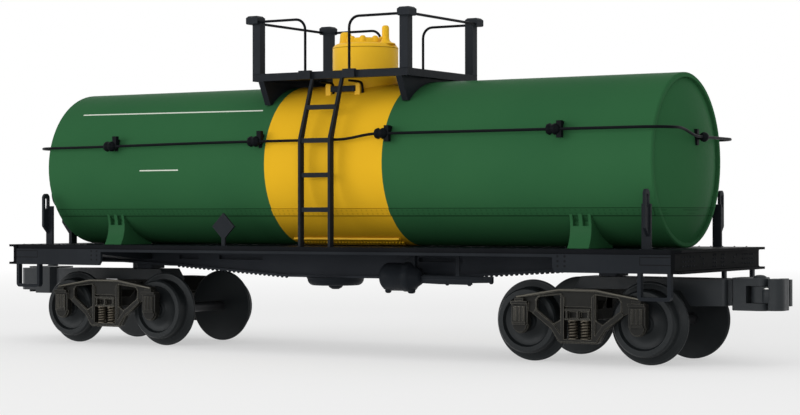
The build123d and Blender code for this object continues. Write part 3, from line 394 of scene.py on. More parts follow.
MATERIALS = {
    "tank": tank_paint("tank_paint"),
    "saddle": tank_paint("saddle_paint", banded=False),
    "yellow": moulded("dome_paint", YELLOW, YELLOW_DEEP, rough=0.42, shine=0.12, edge=0.2),
    # Brighter copy of the yellow paint for the dome's drum and top fittings: painted light
    "drum": moulded(
        "dome_yellow", (0.86, 0.50, 0.022), (0.81, 0.465, 0.020), rough=0.42, shine=0.10, edge=0.2,
    ),
    "seam": moulded(
        "dome_seam", (0.34, 0.19, 0.012), (0.28, 0.155, 0.01), rough=0.6, shine=0.1, edge=0.04,
    ),
    "panel": panel_paint("panel_plastic"),
    "black": moulded(
        "black_plastic", BLACK, BLACK_PALE, rough=0.48, shine=0.06, dust=(0.045, 0.05, 0.055),
        worn=BLACK_WORN,
    ),
    "deck": moulded(
        "deck_plastic", (0.0042, 0.0048, 0.0062), (0.0060, 0.0068, 0.0085), rough=0.48, shine=0.03,
    ),
    "post": moulded(
        "post_plastic", (0.0140, 0.0165, 0.0205), (0.0175, 0.0205, 0.0250), rough=0.46, shine=0.05,
        worn=BLACK_WORN,
    ),
    # End sills in a darker black: partly the plastic's own deeper tone and partly painted shade of the
    # channel's recess
    "sill": moulded(
        "end_sill_plastic", (0.0030, 0.0034, 0.0040), (0.0045, 0.0050, 0.0056), rough=0.45, shine=0.01,
        worn=(0.012, 0.013, 0.015),
    ),
    "girder": moulded(
        "girder_plastic", (0.0200, 0.0230, 0.0285), (0.0260, 0.0295, 0.0360), rough=0.48, shine=0.05,
        worn=(0.060, 0.066, 0.074),
    ),
    "wire": moulded("black_wire", DEEP_BLACK_AND_SHADE, (0.0055, 0.0064, 0.0080), rough=0.38, shine=0.03, edge=0.05),
    # The cast trucks' light edges are partly wear and partly painted highlight
    "truck": moulded(
        "truck_casting", (0.0072, 0.0072, 0.0062), (0.0105, 0.0104, 0.0090), rough=0.50, shine=0.12,
        dust=(0.05, 0.047, 0.040), worn=(0.20, 0.19, 0.16), wear_amount=0.9,
        grain=1600.0, grain_depth=0.03,
    ),
    # Light colour of the arch's edge rods: partly wear and partly painted highlight
    "chord": moulded(
        "truck_edge", (0.17, 0.16, 0.13), (0.10, 0.095, 0.080), rough=0.5, shine=0.12,
        grain=1600.0, grain_depth=0.03,
    ),
    "coupler": moulded(
        "coupler_casting", (0.0160, 0.0190, 0.0215), (0.0220, 0.0255, 0.0285), rough=0.46, shine=0.2,
        dust=(0.05, 0.053, 0.056), worn=(0.065, 0.068, 0.072), grain=1700.0, grain_depth=0.03,
    ),
    "wheel": moulded(
        "wheel_metal", (0.0100, 0.0120, 0.0132), (0.0140, 0.0165, 0.0178), rough=0.42, metal=0.15,
        shine=0.15, grain=1800.0, worn=(0.070, 0.075, 0.078),
    ),
    "axle": moulded(
        "axle_steel", (0.022, 0.023, 0.025), (0.035, 0.036, 0.038), rough=0.42, metal=0.5,
    ),
    "steel": moulded(
        "bright_steel", (0.62, 0.62, 0.60), (0.72, 0.72, 0.70), rough=0.26, metal=1.0, edge=0.08,
    ),
    "spring": moulded(
        "spring_steel", (0.045, 0.038, 0.028), (0.075, 0.064, 0.046), rough=0.36, metal=0.6, shine=0.5,
    ),
}

NODE_LOOKS = {
    "tank": "tank", "tank_saddles": "saddle", "tank_anchor": "tank", "deck": "deck",
    "end_sills": "sill", "side_sills": "panel", "centre_sill": "girder", "walkway_rails": "wire",
    "tank_handrail": "wire", "handrail_stanchions": "wire", "king_pins": "axle",
}
for mark in "ab":
    NODE_LOOKS[f"side_frames_{mark}"] = "truck"
    NODE_LOOKS[f"truck_bolster_{mark}"] = "truck"
    NODE_LOOKS[f"springs_{mark}"] = "spring"
    NODE_LOOKS[f"coupler_arm_{mark}"] = "coupler"
    NODE_LOOKS[f"coupler_knuckle_{mark}"] = "coupler"
for mark in "1234":
    NODE_LOOKS[f"axle_{mark}"] = "axle"
    NODE_LOOKS[f"wheels_{mark}"] = "wheel"


def paint_nodes():
    """Every CAD node gets its material; what the table leaves out is black plastic."""
    for name, o in nodes.items():
        o.data.materials.clear()
        o.data.materials.append(MATERIALS[NODE_LOOKS.get(name, "black")])
        for polygon in o.data.polygons:
            polygon.material_index = 0


# Radius at which a turned form closes on its axis
CLOSED = 0.01


def circle(centre, radius, first, second, sides):
    """Points round a centre, in the plane of two directions."""
    angles = [2 * math.pi * k / sides for k in range(sides)]
    return [tuple(centre + radius * (math.cos(a) * first + math.sin(a) * second)) for a in angles]


def steps(start, end, pitch):
    """Evenly spaced values from start to end, about a pitch apart."""
    count = max(1, round(abs(end - start) / pitch))
    return [start + (end - start) * i / count for i in range(count + 1)]


class Piece:
    """Gathers the faces of one piece in millimetres, heights above the rail."""

    def __init__(self):
        self.verts = []
        self.faces = []
        self.smooth = []

    def add(self, verts, faces, smooth=False):
        start = len(self.verts)
        self.verts.extend(verts)
        self.faces.extend(tuple(start + i for i in face) for face in faces)
        self.smooth.extend([smooth] * len(faces))

    def box(self, low, high):
        """Block between two opposite corners."""
        verts = [(x, y, z) for x in (low[0], high[0]) for y in (low[1], high[1]) for z in (low[2], high[2])]
        faces = [(0, 1, 3, 2), (4, 6, 7, 5), (0, 4, 5, 1), (2, 3, 7, 6), (0, 2, 6, 4), (1, 5, 7, 3)]
        self.add(verts, faces)

    def side_box(self, along, side, out, heights):
        """Block on one side of the car; out holds two distances from its middle line."""
        low_y, high_y = sorted((side * out[0], side * out[1]))
        self.box((along[0], low_y, heights[0]), (along[1], high_y, heights[1]))

    def prism(self, near, far):
        """Block between two outlines of the same number of points."""
        count = len(near)
        faces = [tuple(range(count)), tuple(range(2 * count - 1, count - 1, -1))]
        faces += [(i, i + count, (i + 1) % count + count, (i + 1) % count) for i in range(count)]
        self.add(near + far, faces)

    def slab(self, outline, y0, y1):
        """Outline of (x, height) points pushed from y0 to y1."""
        self.prism([(x, y0, z) for x, z in outline], [(x, y1, z) for x, z in outline])

    def skin(self, rings):
        """Smooth faces from ring to ring, and a flat face at each end."""
        sides = len(rings[0])
        faces = []
        for start in range(0, (len(rings) - 1) * sides, sides):
            for k in range(sides):
                here, beside = start + k, start + (k + 1) % sides
                faces.append((here, beside, beside + sides, here + sides))
        self.add([place for ring in rings for place in ring], faces, smooth=True)
        self.add(rings[0], [tuple(range(sides - 1, -1, -1))])
        self.add(rings[-1], [tuple(range(sides))])

    def tube(self, path, radius, sides=10):
        """Round wire along a list of points."""
        points = [Vector(p) for p in path]
        rings = []
        normal = None
        for i, centre in enumerate(points):
            ahead = points[min(i + 1, len(points) - 1)] - points[max(i - 1, 0)]
            ahead.normalize()
            if normal is None:
                normal = ahead.orthogonal().normalized()
            normal = (normal - ahead * normal.dot(ahead)).normalized()
            rings.append(circle(centre, radius, normal, ahead.cross(normal), sides))
        self.skin(rings)

    def turned(self, profile, at, axis, sides=24):
        """Profile of (radius, distance along the axis) turned about an axis through a point."""
        axis = Vector(axis).normalized()
        first = axis.orthogonal().normalized()
        second = axis.cross(first)
        rings = [circle(Vector(at) + axis * along, radius, first, second, sides) for radius, along in profile]
        self.skin(rings)

    def rivet(self, at, axis, radius, height):
        """A low domed head, its base sunk a little into what it sits on."""
        side, crown, tip = 0.25 * height, 0.8 * height, 0.25 * radius
        self.turned(((radius, -0.1), (radius, side), (0.72 * radius, crown), (tip, height)), at, axis, 8)

    def place(self, name, body, look, finish):
        """Makes the piece an object that rides on a body; the finish argument is not used."""
        mesh = bpy.data.meshes.new(name)
        mesh.from_pydata([point(*v) for v in self.verts], [], self.faces)
        for polygon, smooth in zip(mesh.polygons, self.smooth):
            polygon.use_smooth = smooth
        mesh.materials.append(MATERIALS[look])
        mesh.validate()
        o = bpy.data.objects.new(name, mesh)
        bpy.context.scene.collection.objects.link(o)
        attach(o, body)
        return o


def add_tank_seams():
    """Lapped sheet edges low on each flank."""
    arc = steps(math.radians(-32.9), math.radians(-38.7), 0.03)
    outside, inside = TANK_RADIUS + 0.22, TANK_RADIUS - 0.3
    end_x = TANK_HALF - 1.4
    seams = Piece()
    for side in SIDES:
        ring = []
        for radius, angles in ((outside, arc), (inside, arc[::-1])):
            ring += [(side * radius * math.cos(a), TANK_HEIGHT + radius * math.sin(a)) for a in angles]
        seams.prism([(-end_x, y, z) for y, z in ring], [(end_x, y, z) for y, z in ring])
    seams.place("tank_seams", "car_body", "tank", "tank_paint")


def add_anchor_trim():
    """Yellow ledge low on each side of the tank, and the rivets along the anchor strips."""
    angle = math.radians(-70.0)
    radius = TANK_RADIUS + 0.3
    row_end, ledge_end = 18.0, 18.3
    rivets = Piece()
    ledge = Piece()
    for side in SIDES:
        normal = (0, side * math.cos(angle), math.sin(angle))
        for x in steps(-row_end, row_end, 1.1):
            rivets.rivet((x, radius * normal[1], TANK_HEIGHT + radius * normal[2]), normal, 0.32, 0.45)
        ledge.side_box((-ledge_end, ledge_end), side, (9.8, 11.2), (30.75, 31.35))
    ledge.place("anchor_ledge", "car_body", "yellow", "dome_paint")
    rivets.place("anchor_rivets", "car_body", "tank", "dome_paint")


def add_saddle_webs():
    """Webs behind the notches in the saddles' tops."""
    saddle_x, half = 80.0, 3.1
    webs = Piece()
    for x in (-saddle_x, saddle_x):
        for side in SIDES:
            webs.side_box((x - half, x + half), side, (9.0, 17.1), (34.0, 38.6))
    webs.place("saddle_webs", "car_body", "saddle", "tank_paint")


# Place along the car and height on the near side, and how far the plate goes above and below the wire;
# the far side has the same turned half round
CLAMP_TABLE = (
    (-76.0, 59.15, 3.1, 0.6),
    (-21.9, 59.6, 3.1, 0.6),
    (21.9, 61.0, 2.3, 2.3),
    (76.0, 61.0, 2.3, 2.3),
)
CLAMP_PROFILE = (
    (0.8, -2.7), (1.4, -2.4), (1.6, -1.7), (1.25, -1.2),
    (1.25, -0.9), (1.6, -0.3), (1.5, 0.3), (0.9, 0.5),
)


def add_handrail_clamps():
    """Turned clamps on the handrail with a small plate beside each, at the side stanchions."""
    wire_y = 25.5
    clamps = Piece()
    for x, height, over, under in CLAMP_TABLE:
        for side in SIDES:
            clamps.turned(CLAMP_PROFILE, (-side * x, side * wire_y, height), (-side, 0, 0), 20)
            ends = sorted((-side * (x + 0.2), -side * (x + 1.7)))
            clamps.side_box(ends, side, (24.4, 25.7), (height - under, height + over))
    clamps.place("handrail_clamps", "car_body", "wire", "black_wire")


# The drum's outline as a distance in from its side and a height, up to its flat top
DOME_RADIUS = 9.8
DOME_OUTLINE = ((0.0, 72.9), (0.0, 87.75), (0.12, 87.95), (0.62, 88.6), (1.1, 88.85), (3.0, 89.05))
DOME_TOP = 89.1


def add_dome():
    """Straight drum with a bevelled cap, and the fine line where the cap meets the drum."""
    profile = [(DOME_RADIUS - inset, height) for inset, height in DOME_OUTLINE] + [(CLOSED, DOME_TOP)]
    drum = Piece()
    drum.turned(profile, (0, 0, 0), UP, 96)
    o = drum.place("dome_drum", "car_body", "drum", "dome_paint")
    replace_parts(o, "dome")
    rim, rim_height = DOME_RADIUS - 0.02, 87.6
    ring = [(rim * math.cos(a), rim * math.sin(a), rim_height) for a in steps(0, 2 * math.pi, 0.07)]
    line = Piece()
    line.tube(ring, 0.09, 6)
    line.place("dome_line", "car_body", "seam", "dome_paint")


# Profiles on the dome's top as radius and height over FIXTURE_FOOT
FIXTURE_FOOT = 88.9
LID_PROFILE = ((6.0, -0.2), (6.0, 0.35), (5.3, 0.6), (5.3, 1.35), (4.9, 1.75), (3.8, 1.9), (CLOSED, 1.95))
BOLT_PROFILE = ((0.95, -0.1), (0.95, 1.7), (0.82, 2.05), (0.5, 2.3), (CLOSED, 2.38))
TALL_VALVE = (
    (3.1, -0.25), (2.7, 0.1), (1.9, 0.32), (1.4, 0.75), (1.15, 1.3),
    (1.08, 2.0), (1.08, 4.6), (0.95, 5.05), (0.62, 5.35), (CLOSED, 5.4),
)
SQUAT_VALVE = (
    (2.3, -0.25), (2.0, 0.4), (1.85, 1.2), (1.7, 3.2), (1.45, 3.7), (0.9, 3.95), (CLOSED, 4.0),
)


def add_dome_fixtures():
    """Low manway lid with rounded bolts, tall relief valve with a flared foot, squat valve."""
    bolt_count, bolt_circle, valve_x = 8, 4.95, 7.0
    fixtures = Piece()
    fixtures.turned(LID_PROFILE, (0, 0, FIXTURE_FOOT), UP, 64)
    for k in range(bolt_count):
        angle = 2 * math.pi * (k + 0.5) / bolt_count
        at = (bolt_circle * math.cos(angle), bolt_circle * math.sin(angle), FIXTURE_FOOT)
        fixtures.turned(BOLT_PROFILE, at, UP, 20)
    fixtures.turned(TALL_VALVE, (valve_x, 0, FIXTURE_FOOT), UP, 32)
    fixtures.turned(SQUAT_VALVE, (-valve_x, 0, FIXTURE_FOOT), UP, 32)
    o = fixtures.place("dome_top_fixtures", "car_body", "drum", "dome_paint")
    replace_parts(o, "dome_fittings")


# One side of a lug as a distance from its middle and a height; a hook as a distance out and a height
LUG_SIDE = ((0.9, 72.5), (0.9, 76.2), (0.55, 76.6))
HOOK_PATH = ((19.0, 76.9), (13.6, 76.9), (12.5, 76.7), (11.9, 76.2), (11.6, 75.2), (11.6, 73.2))


def add_walkway_stays():
    """Yellow lugs on the tank, the black bar between them and the hooked wires from the walkway beams."""
    lug_y, lug_half = 11.6, 0.9
    bar_y, bar_end, bar_half = lug_y + 0.5, 4.4, 0.4
    lugs = Piece()
    bars = Piece()
    hooks = Piece()
    for side in SIDES:
        for x in (-5.2, 4.9):
            at = side * -x
            outline = [(at - LUG_SIDE[0][0], LUG_SIDE[0][1])]
            outline += [(at + half, height) for half, height in LUG_SIDE]
            outline += [(at - half, height) for half, height in LUG_SIDE[:0:-1]]
            lugs.slab(outline, side * lug_y - lug_half, side * lug_y + lug_half)
            leg = at - side * 1.35
            hooks.tube([(leg, side * out, height) for out, height in HOOK_PATH], 0.36, 8)
        bars.box((-bar_end, side * bar_y - bar_half, 74.2), (bar_end, side * bar_y + bar_half, 75.9))
    lugs.place("walkway_lugs", "car_body", "yellow", "dome_paint")
    bars.place("walkway_stay_bars", "car_body", "black", "black_plastic")
    hooks.place("walkway_stay_hooks", "car_body", "wire", "black_wire")


def add_ladder_treads():
    """Flat treads over the ladder's thin rungs; above its knee the ladder leans in to the walkway."""
    knee, walk_bottom = 59.9, 77.6
    inner, outer, top = 26.0, 28.0, 20.4
    half_width, half_depth = 5.0, 0.6
    treads = Piece()
    for height in (39.7, 49.65, 59.6, 69.3):
        lean = max(0.0, height - knee) / (walk_bottom - knee)
        y = (inner + outer) / 2 - lean * (inner - top)
        for side in SIDES:
            out = (y - half_depth, y + half_depth)
            treads.side_box((-half_width, half_width), side, out, (height - 0.85, height + 0.5))
    treads.place("ladder_treads", "car_body", "black", "black_plastic")


def belly_height(x):
    """Underside of the centre sill's flange at a place along the car."""
    flat, slope, low, high = 25.0, 66.5, 19.3, 22.1
    return low + (high - low) * max(0.0, abs(x) - flat) / (slope - flat)


# Rivets on one half of an end sill, as a distance from the middle line and a height
END_RIVETS = [(y, height) for y in (24.9, 23.0, 21.1, 19.2, 17.3) for height in (24.6, 25.8, 27.0)]
END_RIVETS += [(y, height) for y in (2.2, 3.6) for height in (24.2, 25.2, 26.2, 27.2)]
END_RIVETS += [(10.9, 25.0), (10.9, 26.4), (13.0, 27.0)]


def add_frame_rivets():
    """Rivet heads on the end sills, the deck edge and the sloped flanges of the centre sill."""
    ends = Piece()
    for end, side in CORNERS:
        for y, height in END_RIVETS:
            ends.rivet((end * END_WEB_X, side * y, height), (end, 0, 0), 0.24, 0.2)
    ends.place("end_sill_rivets", "car_body", "black", "black_plastic")
    edge = Piece()
    for side in SIDES:
        for x in steps(-109.0, 109.0, 3.6):
            edge.rivet((x, side * 28.5, DECK_TOP), UP, 0.26, 0.2)
    edge.place("deck_rivets", "car_body", "black", "black_plastic")
    flange = Piece()
    for end, side in CORNERS:
        for x in steps(25.5, 66.3, 1.6):
            flange.rivet((end * x, side * 4.5, belly_height(x)), DOWN, 0.46, 0.42)
    flange.place("centre_sill_rivets", "car_body", "black", "black_plastic")


# The floor that the walkway's posts stand on, their outer faces along and across, their width, the foot
# and head of their caps, and the wires between them
WALK_FLOOR = 79.8
WALK_X = 26.8
WALK_Y = 20.4
POST_SIZE = 2.7
CAP_LOW = 94.5
CAP_HIGH = 97.0
WIRE_HEIGHT = CAP_LOW + 0.65
WIRE_RADIUS = 0.40


def add_post_cap(posts, along, across):
    """Square cap with a small bevel below and a wide one above."""
    low_x, high_x = along
    low_y, high_y = across
    bevel = 0.55
    corners = []
    levels = ((0.25, CAP_LOW), (0.0, CAP_LOW + 0.25), (0.0, CAP_HIGH - bevel), (bevel, CAP_HIGH))
    for inset, height in levels:
        corners += [(low_x + inset, low_y + inset, height), (high_x - inset, low_y + inset, height)]
        corners += [(high_x - inset, high_y - inset, height), (low_x + inset, high_y - inset, height)]
    faces = [(3, 2, 1, 0), (12, 13, 14, 15)]
    for start in (0, 4, 8):
        for k in range(4):
            here, beside = start + k, start + (k + 1) % 4
            faces.append((here, beside, beside + 4, here + 4))
    posts.add(corners, faces)


def add_walkway_posts():
    """Corner posts with bevelled caps, a little stouter than the CAD ones."""
    overhang = 1.4
    posts = Piece()
    for end, side in CORNERS:
        along = sorted((end * (WALK_X - POST_SIZE), end * WALK_X))
        posts.side_box(along, side, (WALK_Y - POST_SIZE, WALK_Y), (WALK_FLOOR - 0.1, CAP_LOW + 0.1))
        along = sorted((end * (WALK_X - POST_SIZE), end * (WALK_X + overhang)))
        across = sorted((side * (WALK_Y - POST_SIZE), side * (WALK_Y + overhang)))
        add_post_cap(posts, along, across)
    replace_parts(posts.place("walkway_corner_posts", "car_body", "post", "black_plastic"), "walkway_posts")


def add_walkway_wires():
    """Bent wires from each post down to the floor, and a straight wire across each end."""
    leg_x, bend, bend_steps = 7.6, 3.2, 6
    out_x, out_y = WALK_X + 0.6, WALK_Y + 0.6
    wires = Piece()
    for end in SIDES:
        for side in SIDES:
            path = [(end * (WALK_X - POST_SIZE + 0.2), side * out_y, WIRE_HEIGHT)]
            for k in range(bend_steps + 1):
                turn = math.pi / 2 * k / bend_steps
                x = end * leg_x + end * bend * (1 - math.sin(turn))
                path.append((x, side * out_y, WIRE_HEIGHT - bend * (1 - math.cos(turn))))
            path.append((end * leg_x, side * out_y, WALK_FLOOR + 0.3))
            wires.tube(path, WIRE_RADIUS)
        reach = WALK_Y - POST_SIZE + 0.2
        wires.tube([(end * out_x, y, WIRE_HEIGHT) for y in (-reach, reach)], WIRE_RADIUS)
    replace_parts(wires.place("walkway_wires", "car_body", "wire", "black_wire"), "walkway_rails")


# The brake gear's axis, which runs along the car, and what lies round it
BRAKE_Y = -13.0
BRAKE_HEIGHT = 20.2
CYLINDER_PROFILE = (
    (CLOSED, 14.0), (2.2, 14.0), (3.2, 14.6), (3.85, 15.3), (4.04, 16.0), (4.04, 21.6), (4.25, 21.6),
    (4.25, 23.9), (4.0, 24.2), (3.2, 24.9), (2.2, 26.6), (1.2, 27.2), (CLOSED, 27.2),
)
LEVER_OUTLINE = (
    (27.0, 20.7), (27.0, 18.5), (33.0, 18.3), (43.3, 18.25), (43.3, 18.75), (50.1, 18.95), (50.1, 20.7),
)


def add_brake_cylinder():
    """Brake cylinder with a rounded end, two stubs below, two arms to the centre sill and a hanger."""
    body = Piece()
    body.turned(CYLINDER_PROFILE, (0, BRAKE_Y, BRAKE_HEIGHT), (1, 0, 0), 40)
    for x, radius in ((15.8, 0.95), (23.6, 1.15)):
        stub = ((radius, 0.0), (radius, 1.6), (0.8 * radius, 2.0), (0.4 * radius, 2.15))
        body.turned(stub, (x, BRAKE_Y, BRAKE_HEIGHT - 2.6), DOWN, 16)
    for x in (15.1, 19.3):
        body.box((x, BRAKE_Y, BRAKE_HEIGHT + 0.65), (x + 1.5, -3.6, BRAKE_HEIGHT + 2.15))
    body.box((22.9, BRAKE_Y - 0.75, BRAKE_HEIGHT), (25.1, BRAKE_Y + 0.75, DECK_BOTTOM))
    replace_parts(body.place("brake_cylinder_body", "car_body", "black", "black_plastic"), "brake_cylinder")


def add_brake_lever():
    """Flat stepped lever on its push rod, with three pins below and a hanger above."""
    lever = Piece()
    lever.slab(LEVER_OUTLINE, BRAKE_Y - 0.5, BRAKE_Y + 0.5)
    lever.turned(((0.7, 27.0), (0.7, 47.0)), (0, BRAKE_Y, BRAKE_HEIGHT), (1, 0, 0), 16)
    pin = ((0.6, 0.0), (0.6, 1.2), (0.45, 1.5), (0.2, 1.6))
    for x, foot in ((35.4, 17.95), (42.6, 17.9), (49.6, 18.55)):
        lever.turned(pin, (x, BRAKE_Y, foot + 1.6), DOWN, 16)
    lever.box((38.4, BRAKE_Y - 0.5, BRAKE_HEIGHT), (39.6, BRAKE_Y, DECK_BOTTOM))
    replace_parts(lever.place("brake_lever_rod", "car_body", "black", "black_plastic"), "brake_lever")


def add_hand_brake_rivets():
    """Three rivets on the hand brake's stand."""
    stand = Piece()
    for height in (37.5, 40.5, 47.6):
        stand.rivet((-111.5, -6.3, height), (-1, 0, 0), 0.35, 0.25)
    stand.place("hand_brake_rivets", "car_body", "black", "black_plastic")


def add_coils(mark, centre):
    """Coil springs that take the place of the plain ringed ones, with a flat seat at each end."""
    foot, head = 4.6, 9.8
    coil_radius, wire_radius, turns, per_turn = 1.08, 0.3, 5.6, 14
    seat_radius, seat_height = 1.45, 0.35
    end_gap = 0.45
    seat = ((seat_radius, 0.0), (seat_radius, seat_height))
    coils = Piece()
    for end, side in CORNERS:
        x = centre + end * 1.85
        y = side * 21.7
        path = []
        for k in range(int(turns * per_turn) + 1):
            angle = 2 * math.pi * k / per_turn
            rise = foot + end_gap + (head - foot - 2 * end_gap) * k / (turns * per_turn)
            path.append((x + coil_radius * math.cos(angle), y + coil_radius * math.sin(angle), rise))
        coils.tube(path, wire_radius, 8)
        coils.turned(seat, (x, y, foot), UP, 20)
        coils.turned(seat, (x, y, head - seat_height), UP, 20)
    o = coils.place(f"spring_coils_{mark}", f"truck_{mark}", "spring", "spring_steel")
    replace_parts(o, f"springs_{mark}")


# Blocks on a journal box's face: half width, foot, head and how far each stands proud
BOX_FACE_Y = 23.1
LID_BLOCKS = (
    (1.7, 8.9, 13.2, 0.3),
    (2.45, 13.8, 14.6, 0.75),
    (1.3, 14.6, 15.4, 0.55),
    (1.9, 8.2, 8.8, 0.5),
)
LID_RIBS = (-1.15, 0.0, 1.15)

# The arch's light edge, partly wear and partly painted highlight: its distance from the middle line, then
# places along the truck and heights
CHORD_Y = 23.42
CHORD_PATH = ((-18.1, 15.75), (-5.5, 17.85), (5.5, 17.85), (18.1, 15.75))

# Bars and plates at a truck's middle: ends along the car, distances from the middle line, heights
BAR_Y = (22.1, 23.0)
CAP_BLOCKS = (
    ((-3.75, 3.75), BAR_Y, (12.25, 12.75)),
    ((-3.5, -3.0), BAR_Y, (10.0, 12.3)),
    ((-0.25, 0.25), BAR_Y, (10.0, 12.3)),
    ((3.0, 3.5), BAR_Y, (10.0, 12.3)),
    ((-3.75, 3.75), BAR_Y, (9.75, 10.15)),
    ((-3.7, 3.7), (8.8, 12.5), (12.7, 17.4)),
    ((-4.0, 4.0), (19.4, 19.9), (4.4, 12.6)),
    ((-4.0, 4.0), (20.2, 21.6), (12.5, 13.35)),
)


def add_chord_edge(chords, centre, side):
    """Thin light rods along the top of a side frame's arch: partly wear and partly painted highlight."""
    for start, end in zip(CHORD_PATH, CHORD_PATH[1:]):
        chords.tube([(centre + x, side * CHORD_Y, height) for x, height in (start, end)], 0.17, 8)


def add_journal_lid(lids, x, side):
    """Lid, hood, hinge and foot of one journal box, with three ribs on the lid."""
    blocks = [(-half, half, foot, head, proud) for half, foot, head, proud in LID_BLOCKS]
    blocks += [(rib - 0.22, rib + 0.22, 9.3, 13.0, 0.5) for rib in LID_RIBS]
    for start, end, foot, head, proud in blocks:
        lids.side_box((x + start, x + end), side, (BOX_FACE_Y - 0.3, BOX_FACE_Y + proud), (foot, head))


def add_window_rim(rims, centre, end, side):
    """Rim round one opening of a side frame."""
    radius, y = 0.2, side * 22.45
    inner = centre + end * 5.15
    outer = centre + end * (BOX_X - 4.75)
    low = centre + end * 7.2
    loop = [(inner, 16.7), (outer - end * 0.8, 16.0), (outer, 15.0), (outer, 12.4), (low, 8.5), (inner, 9.7)]
    for start, stop in zip(loop, loop[1:] + loop[:1]):
        rims.tube([(x, y, height) for x, height in (start, stop)], radius, 8)
    for x, height in loop:
        rims.turned(((radius, -radius), (radius, radius)), (x, y, height), (0, side, 0), 8)


def add_frame_trim(mark, centre):
    """Journal box lids, rims round the openings, the arch's light edge and the bars on the bolster ends."""
    lids = Piece()
    rims = Piece()
    caps = Piece()
    chords = Piece()
    for side in SIDES:
        add_chord_edge(chords, centre, side)
        for end in SIDES:
            add_journal_lid(lids, centre + end * BOX_X, side)
            add_window_rim(rims, centre, end, side)
        for along, out, heights in CAP_BLOCKS:
            caps.side_box((centre + along[0], centre + along[1]), side, out, heights)
    chords.place(f"chord_edges_{mark}", f"truck_{mark}", "chord", "truck_metal")
    lids.place(f"journal_lids_{mark}", f"truck_{mark}", "truck", "truck_metal")
    rims.place(f"frame_rims_{mark}", f"truck_{mark}", "truck", "truck_metal")
    caps.place(f"bolster_caps_{mark}", f"truck_{mark}", "truck", "truck_metal")


BARREL_PROFILE = ((1.25, 0.0), (1.45, 0.2), (1.45, 3.25), (1.25, 3.5))
PIN_PROFILE = ((1.15, 0.0), (1.25, 0.1), (1.25, 0.35), (1.1, 0.45))
CROWN_PROFILE = ((1.5, 0.0), (1.4, 0.2), (1.0, 0.38), (0.5, 0.46), (CLOSED, 0.48))


def add_coupler_trim(mark, turn):
    """Knuckle barrel in the coupler's window, the bright pin above it and the cap on the head."""
    x, y = turn * (TRUCK_X + 46.8), turn * -5.4
    barrel = Piece()
    barrel.turned(BARREL_PROFILE, (x, y, 14.85), UP, 24)
    barrel.place(f"knuckle_barrel_{mark}", f"knuckle_{mark}", "coupler", "coupler_metal")
    pin = Piece()
    pin.turned(PIN_PROFILE, (x, y, 18.3), UP, 20)
    pin.place(f"coupler_pin_{mark}", f"knuckle_{mark}", "steel", "steel_screw")
    cap = Piece()
    cap.turned(CROWN_PROFILE, (turn * (TRUCK_X + 44.2), turn * -3.9, 21.6), UP, 24)
    cap.place(f"coupler_cap_{mark}", f"truck_{mark}", "coupler", "coupler_metal")


# The floor's half size in metres, its two greys, and the distances from the middle between which it
# fades to white. Rays that light the car take it as half seen, so that it stays a little darker to them.
FLOOR_HALF = 12.0
FLOOR_GREY = (0.80, 0.80, 0.80)
FLOOR_PALE = (0.94, 0.94, 0.94)
FADE_START = 0.25
FADE_END = 0.9
HALF_SEEN = 0.5

WORLD_LIGHT = 0.64
LAMP_AIM = (0, 0, 0.05)

# Name, place, width and height, and power of each lamp, in metres and watts
BOX_TABLE = (
    ("front_left", (-0.85, -1.35, 0.2), (1.3, 0.9), 12.5),
    ("front_right", (0.65, -1.5, 0.18), (1.1, 0.6), 5.5),
    ("top", (0.0, -0.25, 1.4), (1.6, 0.9), 1.2),
)


def seen_by_eye(tree):
    """One for camera, mirror and glass rays, which see the pale studio; nought for the rays that light."""
    path = tree.add("ShaderNodeLightPath").outputs
    seen = tree.math("MAXIMUM", path["Is Camera Ray"], path["Is Glossy Ray"])
    return tree.math("MAXIMUM", seen, path["Is Transmission Ray"])


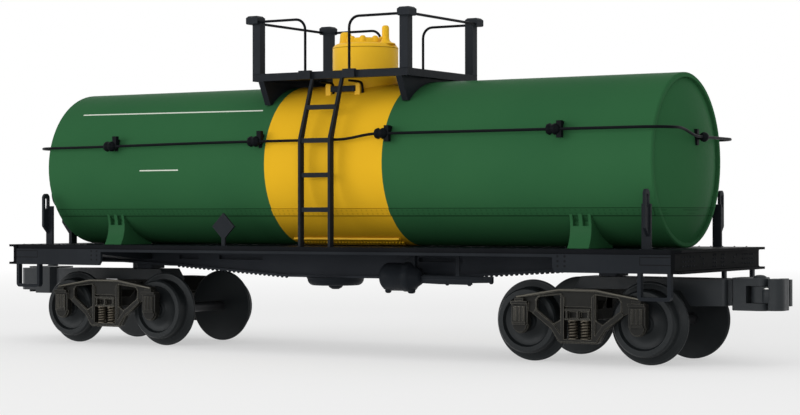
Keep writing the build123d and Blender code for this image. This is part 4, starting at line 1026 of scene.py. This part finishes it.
def make_floor():
    """Pale ground under the car that fades to white further out."""
    half = FLOOR_HALF
    mesh = bpy.data.meshes.new("floor")
    corners = [(-half, -half, 0), (half, -half, 0), (half, half, 0), (-half, half, 0)]
    mesh.from_pydata(corners, [], [(0, 1, 2, 3)])
    floor = bpy.data.objects.new("floor", mesh)
    bpy.context.scene.collection.objects.link(floor)
    paint = Paint("floor")
    seen = paint.math("MAXIMUM", seen_by_eye(paint), HALF_SEEN)
    shade = paint.mix(seen, FLOOR_GREY, FLOOR_PALE)
    paint.feed(paint.shader, ("Base Color", shade), ("Roughness", 0.9), ("Specular IOR Level", 0.0))
    length = paint.add("ShaderNodeVectorMath", (0, paint.coords), operation="LENGTH")
    far = paint.remap(length.outputs["Value"], FADE_START, FADE_END, 0.5, 1.0)
    glow = paint.add("ShaderNodeEmission")
    blend = paint.add(
        "ShaderNodeMixShader", ("Fac", paint.math("MULTIPLY", far, seen)),
        (1, paint.shader.outputs["BSDF"]), (2, glow.outputs["Emission"]),
    )
    paint.feed(paint.out, ("Surface", blend.outputs["Shader"]))
    mesh.materials.append(paint.mat)


def make_world():
    """Even light from all round, which the eye sees as plain white."""
    world = bpy.data.worlds.new("studio")
    bpy.context.scene.world = world
    world.use_nodes = True
    tree = Nodes(world.node_tree)
    strength = tree.remap(seen_by_eye(tree), 0.0, 1.0, WORLD_LIGHT, 1.0)
    back = tree.add("ShaderNodeBackground", ("Color", (1, 1, 1)), ("Strength", strength))
    tree.add("ShaderNodeOutputWorld", ("Surface", back.outputs["Background"]))


def softbox(name, at, size, power):
    """A lamp the shape of a window that faces the car."""
    data = bpy.data.lights.new(name, "AREA")
    data.shape = "RECTANGLE"
    data.size, data.size_y = size
    data.energy = power
    lamp = bpy.data.objects.new(name, data)
    lamp.location = at
    lamp.rotation_euler = (Vector(LAMP_AIM) - Vector(at)).to_track_quat("-Z", "Y").to_euler()
    bpy.context.scene.collection.objects.link(lamp)


paint_nodes()
add_tank_seams()
add_anchor_trim()
add_saddle_webs()
add_handrail_clamps()
add_dome()
add_dome_fixtures()
add_ladder_treads()
add_walkway_stays()
add_frame_rivets()
add_walkway_posts()
add_walkway_wires()
add_brake_cylinder()
add_brake_lever()
add_hand_brake_rivets()
for mark, turn in (("a", -1), ("b", 1)):
    add_coils(mark, turn * TRUCK_X)
    add_frame_trim(mark, turn * TRUCK_X)
    add_coupler_trim(mark, turn)
make_camera()
make_floor()
make_world()
for name, at, size, power in BOX_TABLE:
    softbox(name, at, size, power)

bpy.context.scene.view_settings.view_transform = "Standard"
